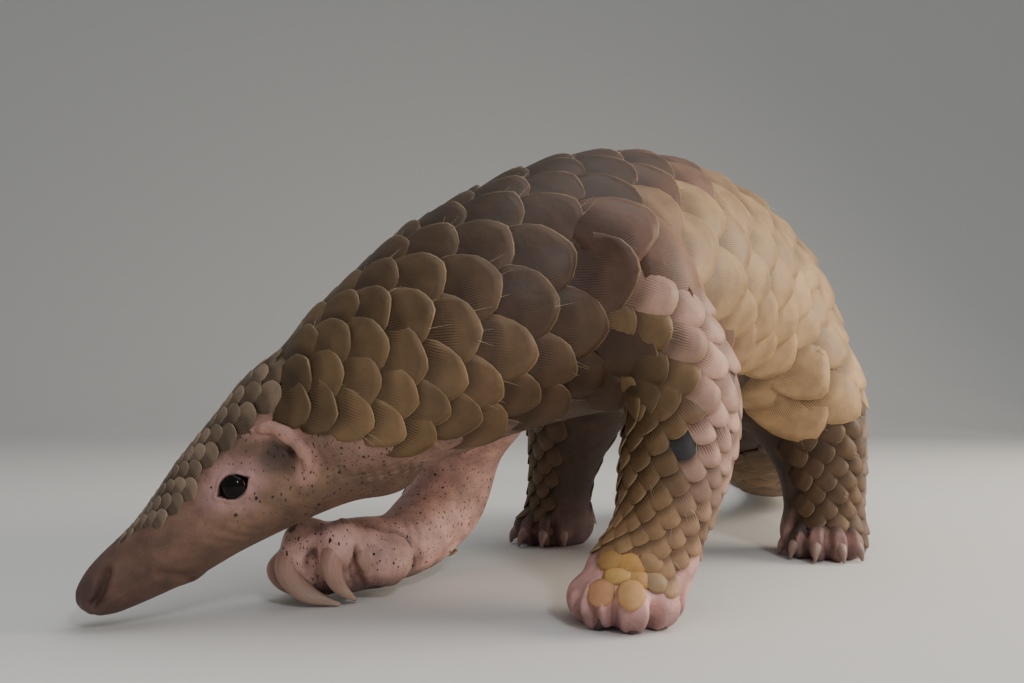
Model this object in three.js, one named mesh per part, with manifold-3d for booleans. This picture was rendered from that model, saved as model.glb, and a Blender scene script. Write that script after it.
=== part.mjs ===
// Sunda pangolin walking with an arched back, a still life-size model in millimetres.
// +Z is up, the nose points towards -X, and the animal's right side is +Y.
import * as THREE from "three";
import { mergeVertices } from "three/addons/utils/BufferGeometryUtils.js";
import Module from "manifold-3d";

const wasm = await Module();
wasm.setup();

const SPLIT = 0.3; // gap between pieces that touch
const EYE_RADIUS = 6.2;
const EYE_SINK = 3.6; // depth of the eyeball's centre under the cheek
const BLOCK = 1500; // side of the blocks that cut the body into lengths and trim the feet flat
const LIMB_STEPS = 2; // rings for each station of a bare limb
const HORN_STEPS = 2; // rings for each point of a claw, ear ridge or lip
const CLAW_SIDES = 5;
const FOOT_SIDES = 11;
const LEG_SIDES = 18;

// Scales grow in staggered rows. Each scale is widest at its side, on its own row, and its tip lies on the
// next row. Between them its edge passes points counted from its middle in columns round and rows back
const SCALE_EDGE = [{ round: 0.66, back: 0.68, height: 0.84 }];
const SCALE_SIDE_HEIGHT = 0.45; // heights are shares of a tip's full rise off the skin
const SCALE_MIDDLE = { back: 0.3, height: 0.88 };
const ROW_STEP = 0.55; // step between rows as a share of a scale's width
const LEAST_ROW_STEP = 11;
const TIP_WEAR = 0.12; // share of its rise that a worn tip has lost
const SEED = 7;

// Where scales grow. The rows fill a limb between two shares of its stations, in columns round it, and only
// the scaled shares have grown scales. Their middle is in degrees from the limb's top, and they reach some
// degrees each way, first at the limb's start and then at its end. Bare parts lie bareDepth under the skin
// where another solid makes the skin
const BODY_SCALES = {
  from: 0.02, to: 0.66, scaled: [0.02, 0.7], middle: 0, reach: [84, 128],
  columns: 20, rise: 4.5, bareDepth: 0,
};
const TAIL_SCALES = {
  from: 0.64, to: 0.975, scaled: [0.665, 1], middle: 0, reach: [180, 180],
  columns: 10, rise: 3.6, bareDepth: 7,
};
const HEAD_SCALES = {
  from: 0.38, to: 0.84, scaled: [0.35, 0.9], middle: 0, reach: [46, 56],
  columns: 16, rise: 1.4, bareDepth: 2,
};
const LEG_SCALES = { from: 0.14, to: 0.9, columns: 10, rise: 2.8, bareDepth: 0 };
const LEG_SCALE_SIDES = {
  foreleg_left: { scaled: [0, 0.86], middle: 70, reach: [180, 180] },
  foreleg_right: { scaled: [0, 0.68], middle: -80, reach: [95, 75] },
  hindleg_left: { scaled: [0, 0.86], middle: 100, reach: [120, 120] },
  hindleg_right: { scaled: [0, 0.86], middle: -100, reach: [120, 120] },
};
// The share at which each leg bends at the elbow or knee
const LEG_BENDS = { foreleg_left: 0.43, foreleg_right: 0.4, hindleg_left: 0.46, hindleg_right: 0.46 };
const LEG_CLEARANCE = 1.2; // how far inside a leg's own outline its scale tips stay

// Each station along a limb: centre x, y, z, then half width, reach above and reach below the centre
const HEAD_STATIONS = [
  [-211.5, 97.5, 11, 0, 0, 0],
  [-210.5, 96.5, 11.5, 8, 6.5, 6],
  [-204.5, 92, 15.5, 11.5, 10.5, 12],
  [-191, 80, 31, 15, 14, 19.5],
  [-174, 67, 45, 18, 26, 21],
  [-158, 54, 57, 21, 36, 23],
  [-141, 40, 71, 26, 43, 28],
  [-122, 25, 82, 28, 40, 31],
  [-108, 15, 90, 0, 0, 0],
];
const BODY_STATIONS = [
  [-156, 50, 66, 0, 0, 0],
  [-144, 40, 76, 31, 35, 27],
  [-122, 26, 92, 45, 49, 37],
  [-94, 12, 108, 57, 60, 42],
  [-60, 3, 124, 67, 67, 50],
  [-20, 0, 137, 73, 74, 58],
  [25, 0, 146, 77, 78, 66],
  [72, 0, 147, 80, 78, 68],
  [116, 0, 137, 82, 77, 62],
  [154, 0, 117, 79, 73, 52],
  [184, 0, 91, 67, 61, 42],
  [211, 4, 64, 50, 40, 30],
  [244, 11, 40, 39, 25, 20],
  [284, 22, 25, 34, 17, 15],
  [332, 40, 17, 29, 13, 12],
  [380, 62, 14, 24.5, 11, 11],
  [426, 90, 11, 20, 9, 9.5],
  [466, 122, 8.5, 14, 7, 7.5],
  [496, 156, 6, 0, 0, 0],
];
const FORELEG_LEFT_STATIONS = [
  [-58, -16, 172, 0, 0, 0],
  [-57, -38, 150, 33, 33, 33],
  [-47, -56, 120, 31, 30, 30],
  [-39, -69, 92, 27, 24, 32],
  [-46, -68, 60, 25, 22, 31],
  [-55, -66, 34, 21, 20, 20],
  [-64, -58, 10, 20, 19, 18],
  [-64, -58, -14, 0, 0, 0],
];
const FORELEG_RIGHT_STATIONS = [
  [-52, 14, 118, 0, 0, 0],
  [-46, 38, 98, 30, 30, 30],
  [-40, 60, 66, 25, 26, 26],
  [-47, 61, 38, 21, 21.5, 21.5],
  [-69, 56, 26, 18.5, 18.5, 18.5],
  [-93, 53, 20.5, 16, 15, 16],
  [-126, 59, 19, 15, 14, 14],
  [-141, 62, 17, 0, 0, 0],
];
const HINDLEG_LEFT_STATIONS = [
  [112, -20, 132, 0, 0, 0],
  [122, -44, 110, 42, 44, 48],
  [130, -60, 84, 36, 34, 50],
  [131, -69, 54, 27, 24, 36],
  [128, -72, 28, 23, 21, 28],
  [126, -72, 6, 24, 22, 24],
  [126, -72, -14, 0, 0, 0],
];
const HINDLEG_RIGHT_STATIONS = [
  [54, 20, 132, 0, 0, 0],
  [62, 44, 110, 40, 42, 42],
  [66, 60, 82, 32, 33, 35],
  [68, 70, 52, 24, 24, 26],
  [66, 73, 28, 21, 21, 23],
  [64, 72, 6, 23, 22, 23],
  [64, 72, -14, 0, 0, 0],
];

// Where the body is parted, as shares of its stations from nape to tail tip
const HEAD_END = 0.79; // share of the head's stations
const BODY_PARTS = [
  { name: "neck", from: 0, to: 0.18 },
  { name: "torso_front", from: 0.18, to: 0.35 },
  { name: "torso_rear", from: 0.35, to: 0.553 },
  { name: "tail_base", from: 0.553, to: 0.69 },
  { name: "tail_middle", from: 0.69, to: 0.835 },
  { name: "tail_end", from: 0.835, to: 1 },
];

// Places on the head: the share along it, then degrees from its crown towards the right cheek
const EYE_PLACE = [0.571, 83];
const NOSTRIL_PLACE = [0.27, 89];
const EAR_HOLLOW_PLACE = [0.69, 82];
const EAR_RIDGE = [
  [0.646, 55, 1.2],
  [0.672, 60, 2.6],
  [0.697, 69, 3.4],
  [0.712, 80, 3.6],
  [0.717, 90, 3.4],
  [0.71, 99, 2.6],
  [0.694, 106, 1.2],
];
const MOUTH_LINE = [
  [0.4, 118],
  [0.31, 124],
  [0.22, 136],
  [0.17, 158],
  [0.16, 180],
];
const LIP_RADIUS = 1.5;
const MOUTH_GAP_RADIUS = 0.7;

// Five toes round the front of a foot, with short claws that point forwards and down or curl under it
const TOE_SPREAD = 27; // degrees between toes
const FEET = [
  {
    name: "forefoot_left",
    leg: "foreleg_left",
    claws: "claw_front_left",
    centre: [-65.5, -56],
    heading: 205,
    ankle: 24,
    toeReach: 15.5,
    toe: [10.5, 9, 10],
    clawPath: [[25.5, 3.6], [20, 2.4], [14.5, 1.5], [9, 0.7]],
    clawRadius: 3.6,
  },
  {
    name: "hindfoot_left",
    leg: "hindleg_left",
    claws: "claw_hind_left",
    centre: [126, -72],
    heading: 188,
    ankle: 24,
    toeReach: 17.5,
    toe: [9.5, 7.5, 9],
    clawPath: [[19, 8], [25, 8.5], [30, 6], [34, 1]],
    clawRadius: 3.4,
  },
  {
    name: "hindfoot_right",
    leg: "hindleg_right",
    claws: "claw_hind_right",
    centre: [64, 72],
    heading: 168,
    ankle: 24,
    toeReach: 17,
    toe: [9.5, 7.5, 9],
    clawPath: [[18.5, 8], [24.5, 8.5], [29.5, 6], [33.5, 1]],
    clawRadius: 3.4,
  },
];
const TOE_LENGTHS = [0.86, 0.96, 1.04, 0.98, 0.86];

// The right forepaw rests on its curled claws, given by their points from root to tip and radius at the root
const WRIST_X = -84;
const KNUCKLE_SHAPE = [1.9, 1.5, 1.6]; // a knuckle's half sizes as shares of its claw's radius
const WRIST_PAD = { centre: [-99, 52, 16], size: [15, 13, 15] };
const PAW_CLAWS = [
  { points: [[-119, 46, 26], [-122, 43, 20], [-118, 42, 14]], radius: 3.4 },
  { points: [[-127, 48, 25], [-133, 46.5, 18], [-129, 47, 9], [-118, 48, 1.5]], radius: 5.8 },
  { points: [[-132, 63, 24], [-140, 64, 16], [-135.5, 58, 6], [-125.5, 47.5, 1]], radius: 7.4 },
  { points: [[-130, 74, 21], [-137, 78, 14], [-133, 76, 6], [-124, 68, 1]], radius: 5 },
  { points: [[-121, 78, 17], [-126, 83, 12], [-122, 82, 6], [-115, 77, 1]], radius: 3.6 },
];

// A limb is a curved centre line with an oval section that changes along it
class Limb {
  constructor(stations, upGuide, steps = LIMB_STEPS) {
    const centres = stations.map(([x, y, z]) => new THREE.Vector3(x, y, z));
    const girths = stations.map(([, , , wide, above, below]) => new THREE.Vector3(wide, above, below));
    this.centreLine = new THREE.CatmullRomCurve3(centres, false, "catmullrom", 0.5);
    this.girthLine = new THREE.CatmullRomCurve3(girths, false, "catmullrom", 0.5);
    this.upGuide = upGuide;
    this.rings = (stations.length - 1) * steps;
  }

  frame(along) {
    const centre = this.centreLine.getPoint(along);
    const tangent = this.centreLine.getTangent(along);
    const side = new THREE.Vector3().crossVectors(this.upGuide, tangent).normalize();
    const up = new THREE.Vector3().crossVectors(tangent, side);
    return { centre, tangent, side, up };
  }

  // A point on the surface, turned about the centre line from its top towards its right, and lifted off it
  point(along, turn, lift = 0) {
    const { centre, side, up } = this.frame(along);
    const girth = this.girthLine.getPoint(along);
    const reach = Math.cos(turn) > 0 ? girth.y : girth.z;
    const across = Math.max(girth.x + lift, 0) * Math.sin(turn);
    const upward = Math.max(reach + lift, 0) * Math.cos(turn);
    return centre.addScaledVector(side, across).addScaledVector(up, upward);
  }

  // The way out of the surface, and the way back along it
  surface(along, turn) {
    const near = 1e-3;
    const back = this.point(along + near, turn).sub(this.point(along - near, turn)).normalize();
    const round = this.point(along, turn + near).sub(this.point(along, turn - near)).normalize();
    const out = new THREE.Vector3().crossVectors(back, round).normalize();
    return { out, back };
  }

  // Millimetres along the skin for each unit of share
  stretch(share, turn) {
    const near = 1e-3;
    return this.point(share + near, turn).distanceTo(this.point(share - near, turn)) / (2 * near);
  }

  // The shares at which rows of scales lie, closer where the limb is thinner
  rowShares({ from, to, columns }) {
    const shares = [];
    for (let share = from; share < to; ) {
      shares.push(share);
      const girth = this.girthLine.getPoint(share);
      const width = (2 * Math.PI * (girth.x + girth.y)) / columns;
      const top = this.stretch(share, 0);
      const side = this.stretch(share, Math.PI / 2);
      share += (2 * Math.max(ROW_STEP * width, LEAST_ROW_STEP)) / (top + side);
    }
    return shares;
  }

  // How fully scales are grown at a place, from 0 on bare skin to 1
  grownAt({ middle, reach, scaled }, share, turn) {
    const away = turn - THREE.MathUtils.degToRad(middle);
    const degrees = Math.abs(THREE.MathUtils.radToDeg(Math.atan2(Math.sin(away), Math.cos(away))));
    const edge = THREE.MathUtils.lerp(reach[0], reach[1], THREE.MathUtils.smoothstep(share, 0, 0.3));
    const bare = edge >= 180 ? 0 : THREE.MathUtils.smoothstep(degrees, edge - 4, edge + 6);
    const begins = THREE.MathUtils.smoothstep(share, scaled[0] - 0.02, scaled[0] + 0.02);
    const ends = THREE.MathUtils.smoothstep(share, scaled[1] - 0.02, scaled[1]);
    return (1 - bare) * begins * (1 - ends);
  }

  // A closed skin of overlapping scales. Each scale is a sloping plate with a wall round its free edge,
  // and rises from the level of its root to its tip
  scaledSkin(growth, clearance = 0) {
    const { columns, rise, bareDepth } = growth;
    const shares = this.rowShares(growth);
    const last = shares.length - 1;
    const first = this.centreLine.getPoint(growth.from * 0.3);
    const end = this.centreLine.getPoint(Math.min(growth.to + 0.025, 1));
    const points = [];
    const triangles = [];
    const known = new Map();
    const column = (value) => ((value % columns) + columns) % columns;

    const place = (key, row, round, height) => {
      if (!known.has(key)) {
        known.set(key, points.length);
        const nearRow = THREE.MathUtils.clamp(row, 0, last);
        const before = Math.min(Math.floor(nearRow), Math.max(last - 1, 0));
        const share = THREE.MathUtils.lerp(shares[before], shares[before + 1], nearRow - before);
        const turn = (column(round) / columns) * 2 * Math.PI;
        const grown = this.grownAt(growth, share, turn);
        const lift = (height - 1) * rise * grown - (1 - grown) * bareDepth - clearance;
        const point = this.point(share, turn, lift);
        if (row < 0) point.lerp(first, Math.min(-row, 1));
        if (row > last) point.lerp(end, Math.min(row - last, 1));
        points.push(point);
      }
      return known.get(key);
    };
    // A tip, the sides of two scales and a root stand over each other at each crossing of a row and column
    const corner = (row, round, level, height) =>
      place(["corner", row, column(round), level].join(), row, round, height);
    const tip = (row, round) => corner(row + 1, round, "tip", 1 - TIP_WEAR * draw());
    const side = (row, round) => corner(row, round, "side", SCALE_SIDE_HEIGHT);
    const root = (row, round) => corner(row - 1, round, "root", 0);
    // One half of a scale's free edge, from its side to its tip: its own upper rim, or the foot of its wall
    const rim = (row, round, hand, isUpper) => SCALE_EDGE.map((edge, index) => place(
      ["edge", row, column(round), hand, index, isUpper].join(),
      row + edge.back,
      round + hand * edge.round,
      isUpper ? edge.height : SCALE_SIDE_HEIGHT * edge.back,
    ));
    const wall = (upper, lower) => {
      for (let index = 0; index + 1 < upper.length; index += 1) {
        triangles.push(upper[index + 1], upper[index], lower[index]);
        triangles.push(upper[index + 1], lower[index], lower[index + 1]);
      }
    };

    for (let row = -1; row <= last + 1; row += 1) {
      for (let round = row & 1; round < columns; round += 2) {
        const left = [side(row, round - 1), ...rim(row, round, -1, true), tip(row, round)];
        const right = [tip(row, round), ...rim(row, round, 1, true).reverse(), side(row, round + 1)];
        const upperLeft = [root(row, round), ...rim(row - 1, round - 1, 1, false)];
        const upperRight = rim(row - 1, round + 1, -1, false).reverse();
        const outline = [...upperLeft, ...left, ...right.slice(1), ...upperRight];
        const { back, height } = SCALE_MIDDLE;
        const middle = place(["middle", row, round].join(), row + back, round, height);
        outline.forEach((point, index) => {
          triangles.push(middle, point, outline[(index + 1) % outline.length]);
        });
        const underTip = side(row + 1, round);
        wall(left, [root(row + 1, round - 1), ...rim(row, round, -1, false), underTip]);
        wall(right, [underTip, ...rim(row, round, 1, false).reverse(), root(row + 1, round + 1)]);
      }
    }
    const geometry = new THREE.BufferGeometry().setFromPoints(points);
    geometry.setIndex(triangles);
    return solidOf(geometry);
  }

  // A closed bare skin over the whole limb, grown by lift
  skin(sides, lift = 0) {
    const ball = new THREE.SphereGeometry(1, sides, this.rings);
    const position = ball.getAttribute("position");
    for (let ring = 0; ring <= this.rings; ring += 1) {
      const along = ring / this.rings;
      const isTip = ring === 0 || ring === this.rings;
      const tip = this.frame(along);
      tip.centre.addScaledVector(tip.tangent, ring === 0 ? -lift : lift);
      for (let column = 0; column <= sides; column += 1) {
        const turn = ((column % sides) / sides) * Math.PI * 2;
        const { x, y, z } = isTip ? tip.centre : this.point(along, turn, lift);
        position.setXYZ(ring * (sides + 1) + column, x, y, z);
      }
    }
    return solidOf(ball);
  }
}

// A closed geometry as a solid that can be joined and cut
function solidOf(geometry) {
  const bare = geometry.clone();
  bare.deleteAttribute("normal");
  bare.deleteAttribute("uv");
  const merged = mergeVertices(bare, 1e-4);
  const corners = merged.getIndex().array;
  const kept = [];
  for (let index = 0; index < corners.length; index += 3) {
    const [a, b, c] = corners.slice(index, index + 3);
    if (a !== b && b !== c && c !== a) kept.push(a, b, c);
  }
  const triVerts = new Uint32Array(kept);
  const vertProperties = new Float32Array(merged.getAttribute("position").array);
  return new wasm.Manifold(new wasm.Mesh({ numProp: 3, vertProperties, triVerts }));
}

// Numbers from 0 to 1 that look random but are the same each time
let drawn = SEED;
function draw() {
  drawn = (drawn * 16807) % 2147483647;
  return drawn / 2147483647;
}

// Joins solids in pairs, so that none is joined to a large one more often than it must be
function joined(solids) {
  if (solids.length === 1) return solids[0];
  const middle = solids.length >> 1;
  return joined(solids.slice(0, middle)).add(joined(solids.slice(middle)));
}

function largestPiece(solid) {
  const pieces = solid.decompose();
  return pieces.reduce((best, piece) => (piece.volume() > best.volume() ? piece : best));
}

// Everything on the far side of a plane, as a block with one face on that plane
function beyond(point, direction) {
  const block = new THREE.BoxGeometry(BLOCK, BLOCK, BLOCK);
  block.translate(0, 0, BLOCK / 2);
  block.applyQuaternion(new THREE.Quaternion().setFromUnitVectors(UP, direction));
  block.translate(point.x, point.y, point.z);
  return solidOf(block);
}

// Everything before (way -1) or after (way 1) a cut across a limb, clear of the cut by half a gap
function beyondCut(limb, along, way) {
  const { centre, tangent } = limb.frame(along);
  const direction = tangent.clone().multiplyScalar(way);
  return beyond(centre.clone().addScaledVector(direction, SPLIT / 2), direction);
}

function ellipsoid(centre, [x, y, z], turn = 0) {
  const ball = new THREE.SphereGeometry(1, 7, 5);
  ball.scale(x, y, z);
  ball.rotateZ(turn);
  ball.translate(...centre);
  return solidOf(ball);
}

// Sets a geometry on a limb's surface, with its +Z facing out and its +Y back along the limb
function seated(geometry, limb, [along, degrees], sink) {
  const turn = THREE.MathUtils.degToRad(degrees);
  const { out, back } = limb.surface(along, turn);
  const place = new THREE.Matrix4().makeBasis(new THREE.Vector3().crossVectors(back, out), back, out);
  place.setPosition(limb.point(along, turn).addScaledVector(out, -sink));
  return solidOf(geometry.clone().applyMatrix4(place));
}

const UP = new THREE.Vector3(0, 0, 1);
const FORWARD = new THREE.Vector3(-1, 0, 0.01).normalize();
const underFloor = beyond(new THREE.Vector3(0, 0, 0), new THREE.Vector3(0, 0, -1));
const head = new Limb(HEAD_STATIONS, UP);
const body = new Limb(BODY_STATIONS, UP);
const legs = {
  foreleg_left: new Limb(FORELEG_LEFT_STATIONS, FORWARD),
  foreleg_right: new Limb(FORELEG_RIGHT_STATIONS, FORWARD),
  hindleg_left: new Limb(HINDLEG_LEFT_STATIONS, FORWARD),
  hindleg_right: new Limb(HINDLEG_RIGHT_STATIONS, FORWARD),
};

const HORN = { color: 0x6f6251, roughness: 0.55, metalness: 0 };
const SKIN = { color: 0xc9a795, roughness: 0.7, metalness: 0 };
const CLAW = { color: 0xcbb592, roughness: 0.4, metalness: 0 };
const EYE = { color: 0x0c0a0a, roughness: 0.08, metalness: 0 };

const group = new THREE.Group();

function addNode(name, solid, finish) {
  const { vertProperties, triVerts } = largestPiece(solid).getMesh();
  const geometry = new THREE.BufferGeometry();
  geometry.setAttribute("position", new THREE.BufferAttribute(vertProperties, 3));
  geometry.setIndex(new THREE.BufferAttribute(triVerts, 1));
  geometry.computeVertexNormals();
  const mesh = new THREE.Mesh(geometry, new THREE.MeshStandardMaterial(finish));
  mesh.name = name;
  group.add(mesh);
}

// A tapered horn or ridge along a few points, as a limb of round section
function taperedLimb(points, radii, upGuide) {
  const stations = points.map((point, index) => [...point, radii[index], radii[index], radii[index]]);
  return new Limb(stations, upGuide, HORN_STEPS);
}

// The head's features, each made for both cheeks
const headParts = [];
const headCuts = [];
const headGaps = [];
for (const [sideName, side] of [["left", -1], ["right", 1]]) {
  const mirrored = ([along, degrees]) => [along, degrees * side];

  const ball = new THREE.SphereGeometry(EYE_RADIUS, 12, 8);
  const socket = new THREE.SphereGeometry(EYE_RADIUS + SPLIT, 12, 8);
  const lids = new THREE.TorusGeometry(5.7, 1.7, 5, 12).scale(0.95, 1.2, 1);
  addNode("eye_" + sideName, seated(ball, head, mirrored(EYE_PLACE), EYE_SINK), EYE);
  headParts.push(seated(lids, head, mirrored(EYE_PLACE), 0.2));
  headGaps.push(seated(socket, head, mirrored(EYE_PLACE), EYE_SINK));

  const ridgePoints = EAR_RIDGE.map(([along, degrees]) =>
    head.point(along, THREE.MathUtils.degToRad(degrees * side), 1).toArray());
  const [hollowAlong, hollowDegrees] = mirrored(EAR_HOLLOW_PLACE);
  const { out } = head.surface(hollowAlong, THREE.MathUtils.degToRad(hollowDegrees));
  const ridge = taperedLimb(ridgePoints, EAR_RIDGE.map(([, , radius]) => radius), out);
  const hollow = new THREE.SphereGeometry(1, 10, 6).scale(4.5, 6, 3);
  const hollowSolid = seated(hollow, head, mirrored(EAR_HOLLOW_PLACE), 0);
  addNode("ear_" + sideName, ridge.skin(6).subtract(hollowSolid), SKIN);
  headCuts.push(hollowSolid);
  headGaps.push(ridge.skin(6, SPLIT));

  const nostril = new THREE.SphereGeometry(1, 8, 5).scale(2.6, 1.3, 2.2);
  headCuts.push(seated(nostril, head, mirrored(NOSTRIL_PLACE), 0.2));
}

// The mouth line runs along both sides of the jaw and meets under the snout
const rightOfMouth = MOUTH_LINE.map(([along, degrees]) =>
  head.point(along, THREE.MathUtils.degToRad(degrees)));
const leftOfMouth = MOUTH_LINE.slice(0, -1).map(([along, degrees]) =>
  head.point(along, THREE.MathUtils.degToRad(-degrees))).reverse();
const mouthPoints = [...rightOfMouth, ...leftOfMouth].map((point) => point.toArray());
const lips = taperedLimb(mouthPoints, mouthPoints.map((_, index) =>
  (index === 0 || index === mouthPoints.length - 1 ? 0.4 : LIP_RADIUS)), UP);
const mouthGap = taperedLimb(mouthPoints, mouthPoints.map(() => MOUTH_GAP_RADIUS), UP);
headParts.push(lips.skin(5));
headCuts.push(mouthGap.skin(4));

const headAndBody = joined([
  head.skin(16),
  head.scaledSkin(HEAD_SCALES),
  body.scaledSkin(BODY_SCALES),
  body.scaledSkin(TAIL_SCALES),
]);
const headOnly = headAndBody.intersect(beyondCut(head, HEAD_END, -1));
const headSpaces = joined([...headCuts, ...headGaps, underFloor]);
addNode("head", joined([headOnly, ...headParts]).subtract(headSpaces), SKIN);

// The neck, trunk and tail are lengths of one body, cut clear of the legs and flat on the floor
const legSpaces = Object.values(legs).map((leg) => leg.skin(LEG_SIDES, SPLIT));
const bodyClear = headAndBody
  .intersect(beyondCut(head, HEAD_END, 1))
  .subtract(joined([...legSpaces, underFloor]));
for (const { name, from, to } of BODY_PARTS) {
  let length = bodyClear;
  if (from > 0) length = length.intersect(beyondCut(body, from, 1));
  if (to < 1) length = length.intersect(beyondCut(body, to, -1));
  addNode(name, length, HORN);
}

// A claw curls in one upright plane, and crosswise is level across that plane
function clawLimb(points, radius, crosswise) {
  const radii = points.map((_, index) => (index === points.length - 1 ? 0.6 : radius * (1 - 0.25 * index)));
  return taperedLimb(points, radii, crosswise);
}

function scaledLeg(name) {
  const scaled = legs[name].scaledSkin({ ...LEG_SCALES, ...LEG_SCALE_SIDES[name] }, LEG_CLEARANCE);
  return scaled.intersect(legs[name].skin(LEG_SIDES));
}

// A leg is two lengths, which meet at its elbow or knee
function addLeg(name, solid) {
  addNode(name + "_upper", solid.intersect(beyondCut(legs[name], LEG_BENDS[name], -1)), HORN);
  addNode(name + "_lower", solid.intersect(beyondCut(legs[name], LEG_BENDS[name], 1)), HORN);
}

for (const foot of FEET) {
  const footParts = [];
  const claws = [];
  for (let toe = 0; toe < 5; toe += 1) {
    const heading = THREE.MathUtils.degToRad(foot.heading + (toe - 2) * TOE_SPREAD);
    const outward = new THREE.Vector3(Math.cos(heading), Math.sin(heading), 0);
    const at = (reach, height) => [
      foot.centre[0] + outward.x * reach * TOE_LENGTHS[toe],
      foot.centre[1] + outward.y * reach * TOE_LENGTHS[toe],
      height,
    ];
    footParts.push(ellipsoid(at(foot.toeReach, foot.toe[2] - 1), foot.toe, heading));
    const crosswise = new THREE.Vector3(-outward.y, outward.x, 0);
    const clawPoints = foot.clawPath.map(([reach, height]) => at(reach, height));
    claws.push(clawLimb(clawPoints, foot.clawRadius, crosswise));
  }
  const leg = scaledLeg(foot.leg).subtract(underFloor);
  const ankle = new THREE.Vector3(0, 0, foot.ankle);
  const above = beyond(ankle.clone().setZ(foot.ankle + SPLIT / 2), UP);
  const below = beyond(ankle.clone().setZ(foot.ankle - SPLIT / 2), UP.clone().negate());
  addLeg(foot.leg, leg.intersect(above));
  const sole = joined([legs[foot.leg].skin(FOOT_SIDES), ...footParts]).intersect(below);
  const clawSpaces = claws.map((claw) => claw.skin(CLAW_SIDES, SPLIT));
  addNode(foot.name, sole.subtract(joined([...clawSpaces, underFloor])), SKIN);
  claws.forEach((claw, toe) => {
    addNode(foot.claws + "_" + (toe + 1), claw.skin(CLAW_SIDES).subtract(underFloor), CLAW);
  });
}

// The right forepaw
const ACROSS = new THREE.Vector3(0, 1, 0);
const pawClaws = PAW_CLAWS.map(({ points, radius }) => clawLimb(points, radius, ACROSS));
const rightArm = scaledLeg("foreleg_right");
const behindWrist = beyond(new THREE.Vector3(WRIST_X + SPLIT / 2, 0, 0), new THREE.Vector3(1, 0, 0));
const beforeWrist = beyond(new THREE.Vector3(WRIST_X - SPLIT / 2, 0, 0), new THREE.Vector3(-1, 0, 0));
addLeg("foreleg_right", rightArm.intersect(behindWrist).subtract(underFloor));
const pawParts = PAW_CLAWS.map(({ points, radius }) =>
  ellipsoid(points[0], KNUCKLE_SHAPE.map((share) => share * radius)));
pawParts.push(legs.foreleg_right.skin(FOOT_SIDES));
pawParts.push(ellipsoid(WRIST_PAD.centre, WRIST_PAD.size));
const pawSpaces = pawClaws.map((claw) => claw.skin(CLAW_SIDES, SPLIT));
const paw = joined(pawParts).intersect(beforeWrist);
addNode("forefoot_right", paw.subtract(joined([...pawSpaces, underFloor])), SKIN);
pawClaws.forEach((claw, toe) => {
  addNode("claw_front_right_" + (toe + 1), claw.skin(CLAW_SIDES).subtract(underFloor), CLAW);
});

// The origin is the centre of the footprint, on the floor
const footprint = new THREE.Box3().setFromObject(group).getCenter(new THREE.Vector3());
group.position.set(-footprint.x, -footprint.y, 0);

export default group;
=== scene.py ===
import math

import bmesh
import bpy
import numpy as np
from mathutils import Matrix, Vector
from mathutils.bvhtree import BVHTree
from mathutils.kdtree import KDTree


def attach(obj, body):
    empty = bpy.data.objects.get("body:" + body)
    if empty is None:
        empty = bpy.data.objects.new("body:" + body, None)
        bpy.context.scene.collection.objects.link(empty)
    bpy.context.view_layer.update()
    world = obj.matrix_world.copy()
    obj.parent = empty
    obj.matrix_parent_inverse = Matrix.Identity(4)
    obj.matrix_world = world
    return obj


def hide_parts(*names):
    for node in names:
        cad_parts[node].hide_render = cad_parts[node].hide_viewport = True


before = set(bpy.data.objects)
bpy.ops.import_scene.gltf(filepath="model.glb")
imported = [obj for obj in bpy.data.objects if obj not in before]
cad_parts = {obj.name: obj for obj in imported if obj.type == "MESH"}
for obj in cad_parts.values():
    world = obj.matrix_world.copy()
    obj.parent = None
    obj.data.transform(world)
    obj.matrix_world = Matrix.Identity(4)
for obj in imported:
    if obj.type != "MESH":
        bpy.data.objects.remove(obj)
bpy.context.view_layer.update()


# Camera
# The eye of a person crouching in front of the animal's left shoulder, a hand's breadth above the floor, looking
# along its flank. Every place below is in millimetres on the animal's own axes: the nose points towards -X, its
# right side is +Y, and the frame's origin is the centre of its footprint.
FOOTPRINT_CENTRE = np.array([140.026, 29.091, 0.0])
CAMERA_PLACE = (-355.1, -235.2, 88.0)
CAMERA_HEADING = math.radians(39.3)
CAMERA_RISE = math.radians(4.08)
SENSOR_MM = 36
LENS_MM = 28.83


def metres(points):
    return (np.asarray(points, float) - FOOTPRINT_CENTRE) / 1000


camera_data = bpy.data.cameras.new("camera")
camera_data.sensor_width = SENSOR_MM
camera_data.lens = LENS_MM
camera = bpy.data.objects.new("camera", camera_data)
level = math.cos(CAMERA_RISE)
forward = Vector((math.cos(CAMERA_HEADING) * level, math.sin(CAMERA_HEADING) * level, math.sin(CAMERA_RISE)))
camera.rotation_mode = "QUATERNION"
camera.rotation_quaternion = forward.to_track_quat("-Z", "Y")
camera.location = metres(CAMERA_PLACE)
camera_data.clip_start = 0.01
bpy.context.scene.collection.objects.link(camera)
bpy.context.scene.camera = camera


# Floor and light
# A pale, matt studio floor that curves up behind, and soft light: a big overhead panel, a warm panel from the
# tail side that catches the back, and a dim one from the nose side.
def linear(hex_colour):
    channels = [int(hex_colour[i:i + 2], 16) / 255 for i in (1, 3, 5)]
    return tuple(c / 12.92 if c <= 0.04045 else ((c + 0.055) / 1.055) ** 2.4 for c in channels) + (1.0,)


def add_node(tree, kind, settings=None, links=None):
    """A shader node. A settings key names a property or an input socket, and links are from (node, output)."""
    node = tree.nodes.new("ShaderNode" + kind)
    for key, value in (settings or {}).items():
        if isinstance(key, str) and hasattr(node, key):
            setattr(node, key, value)
        else:
            node.inputs[key].default_value = value
    for key, (source, output) in (links or {}).items():
        tree.links.new(source.outputs[output], node.inputs[key])
    return node


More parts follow.
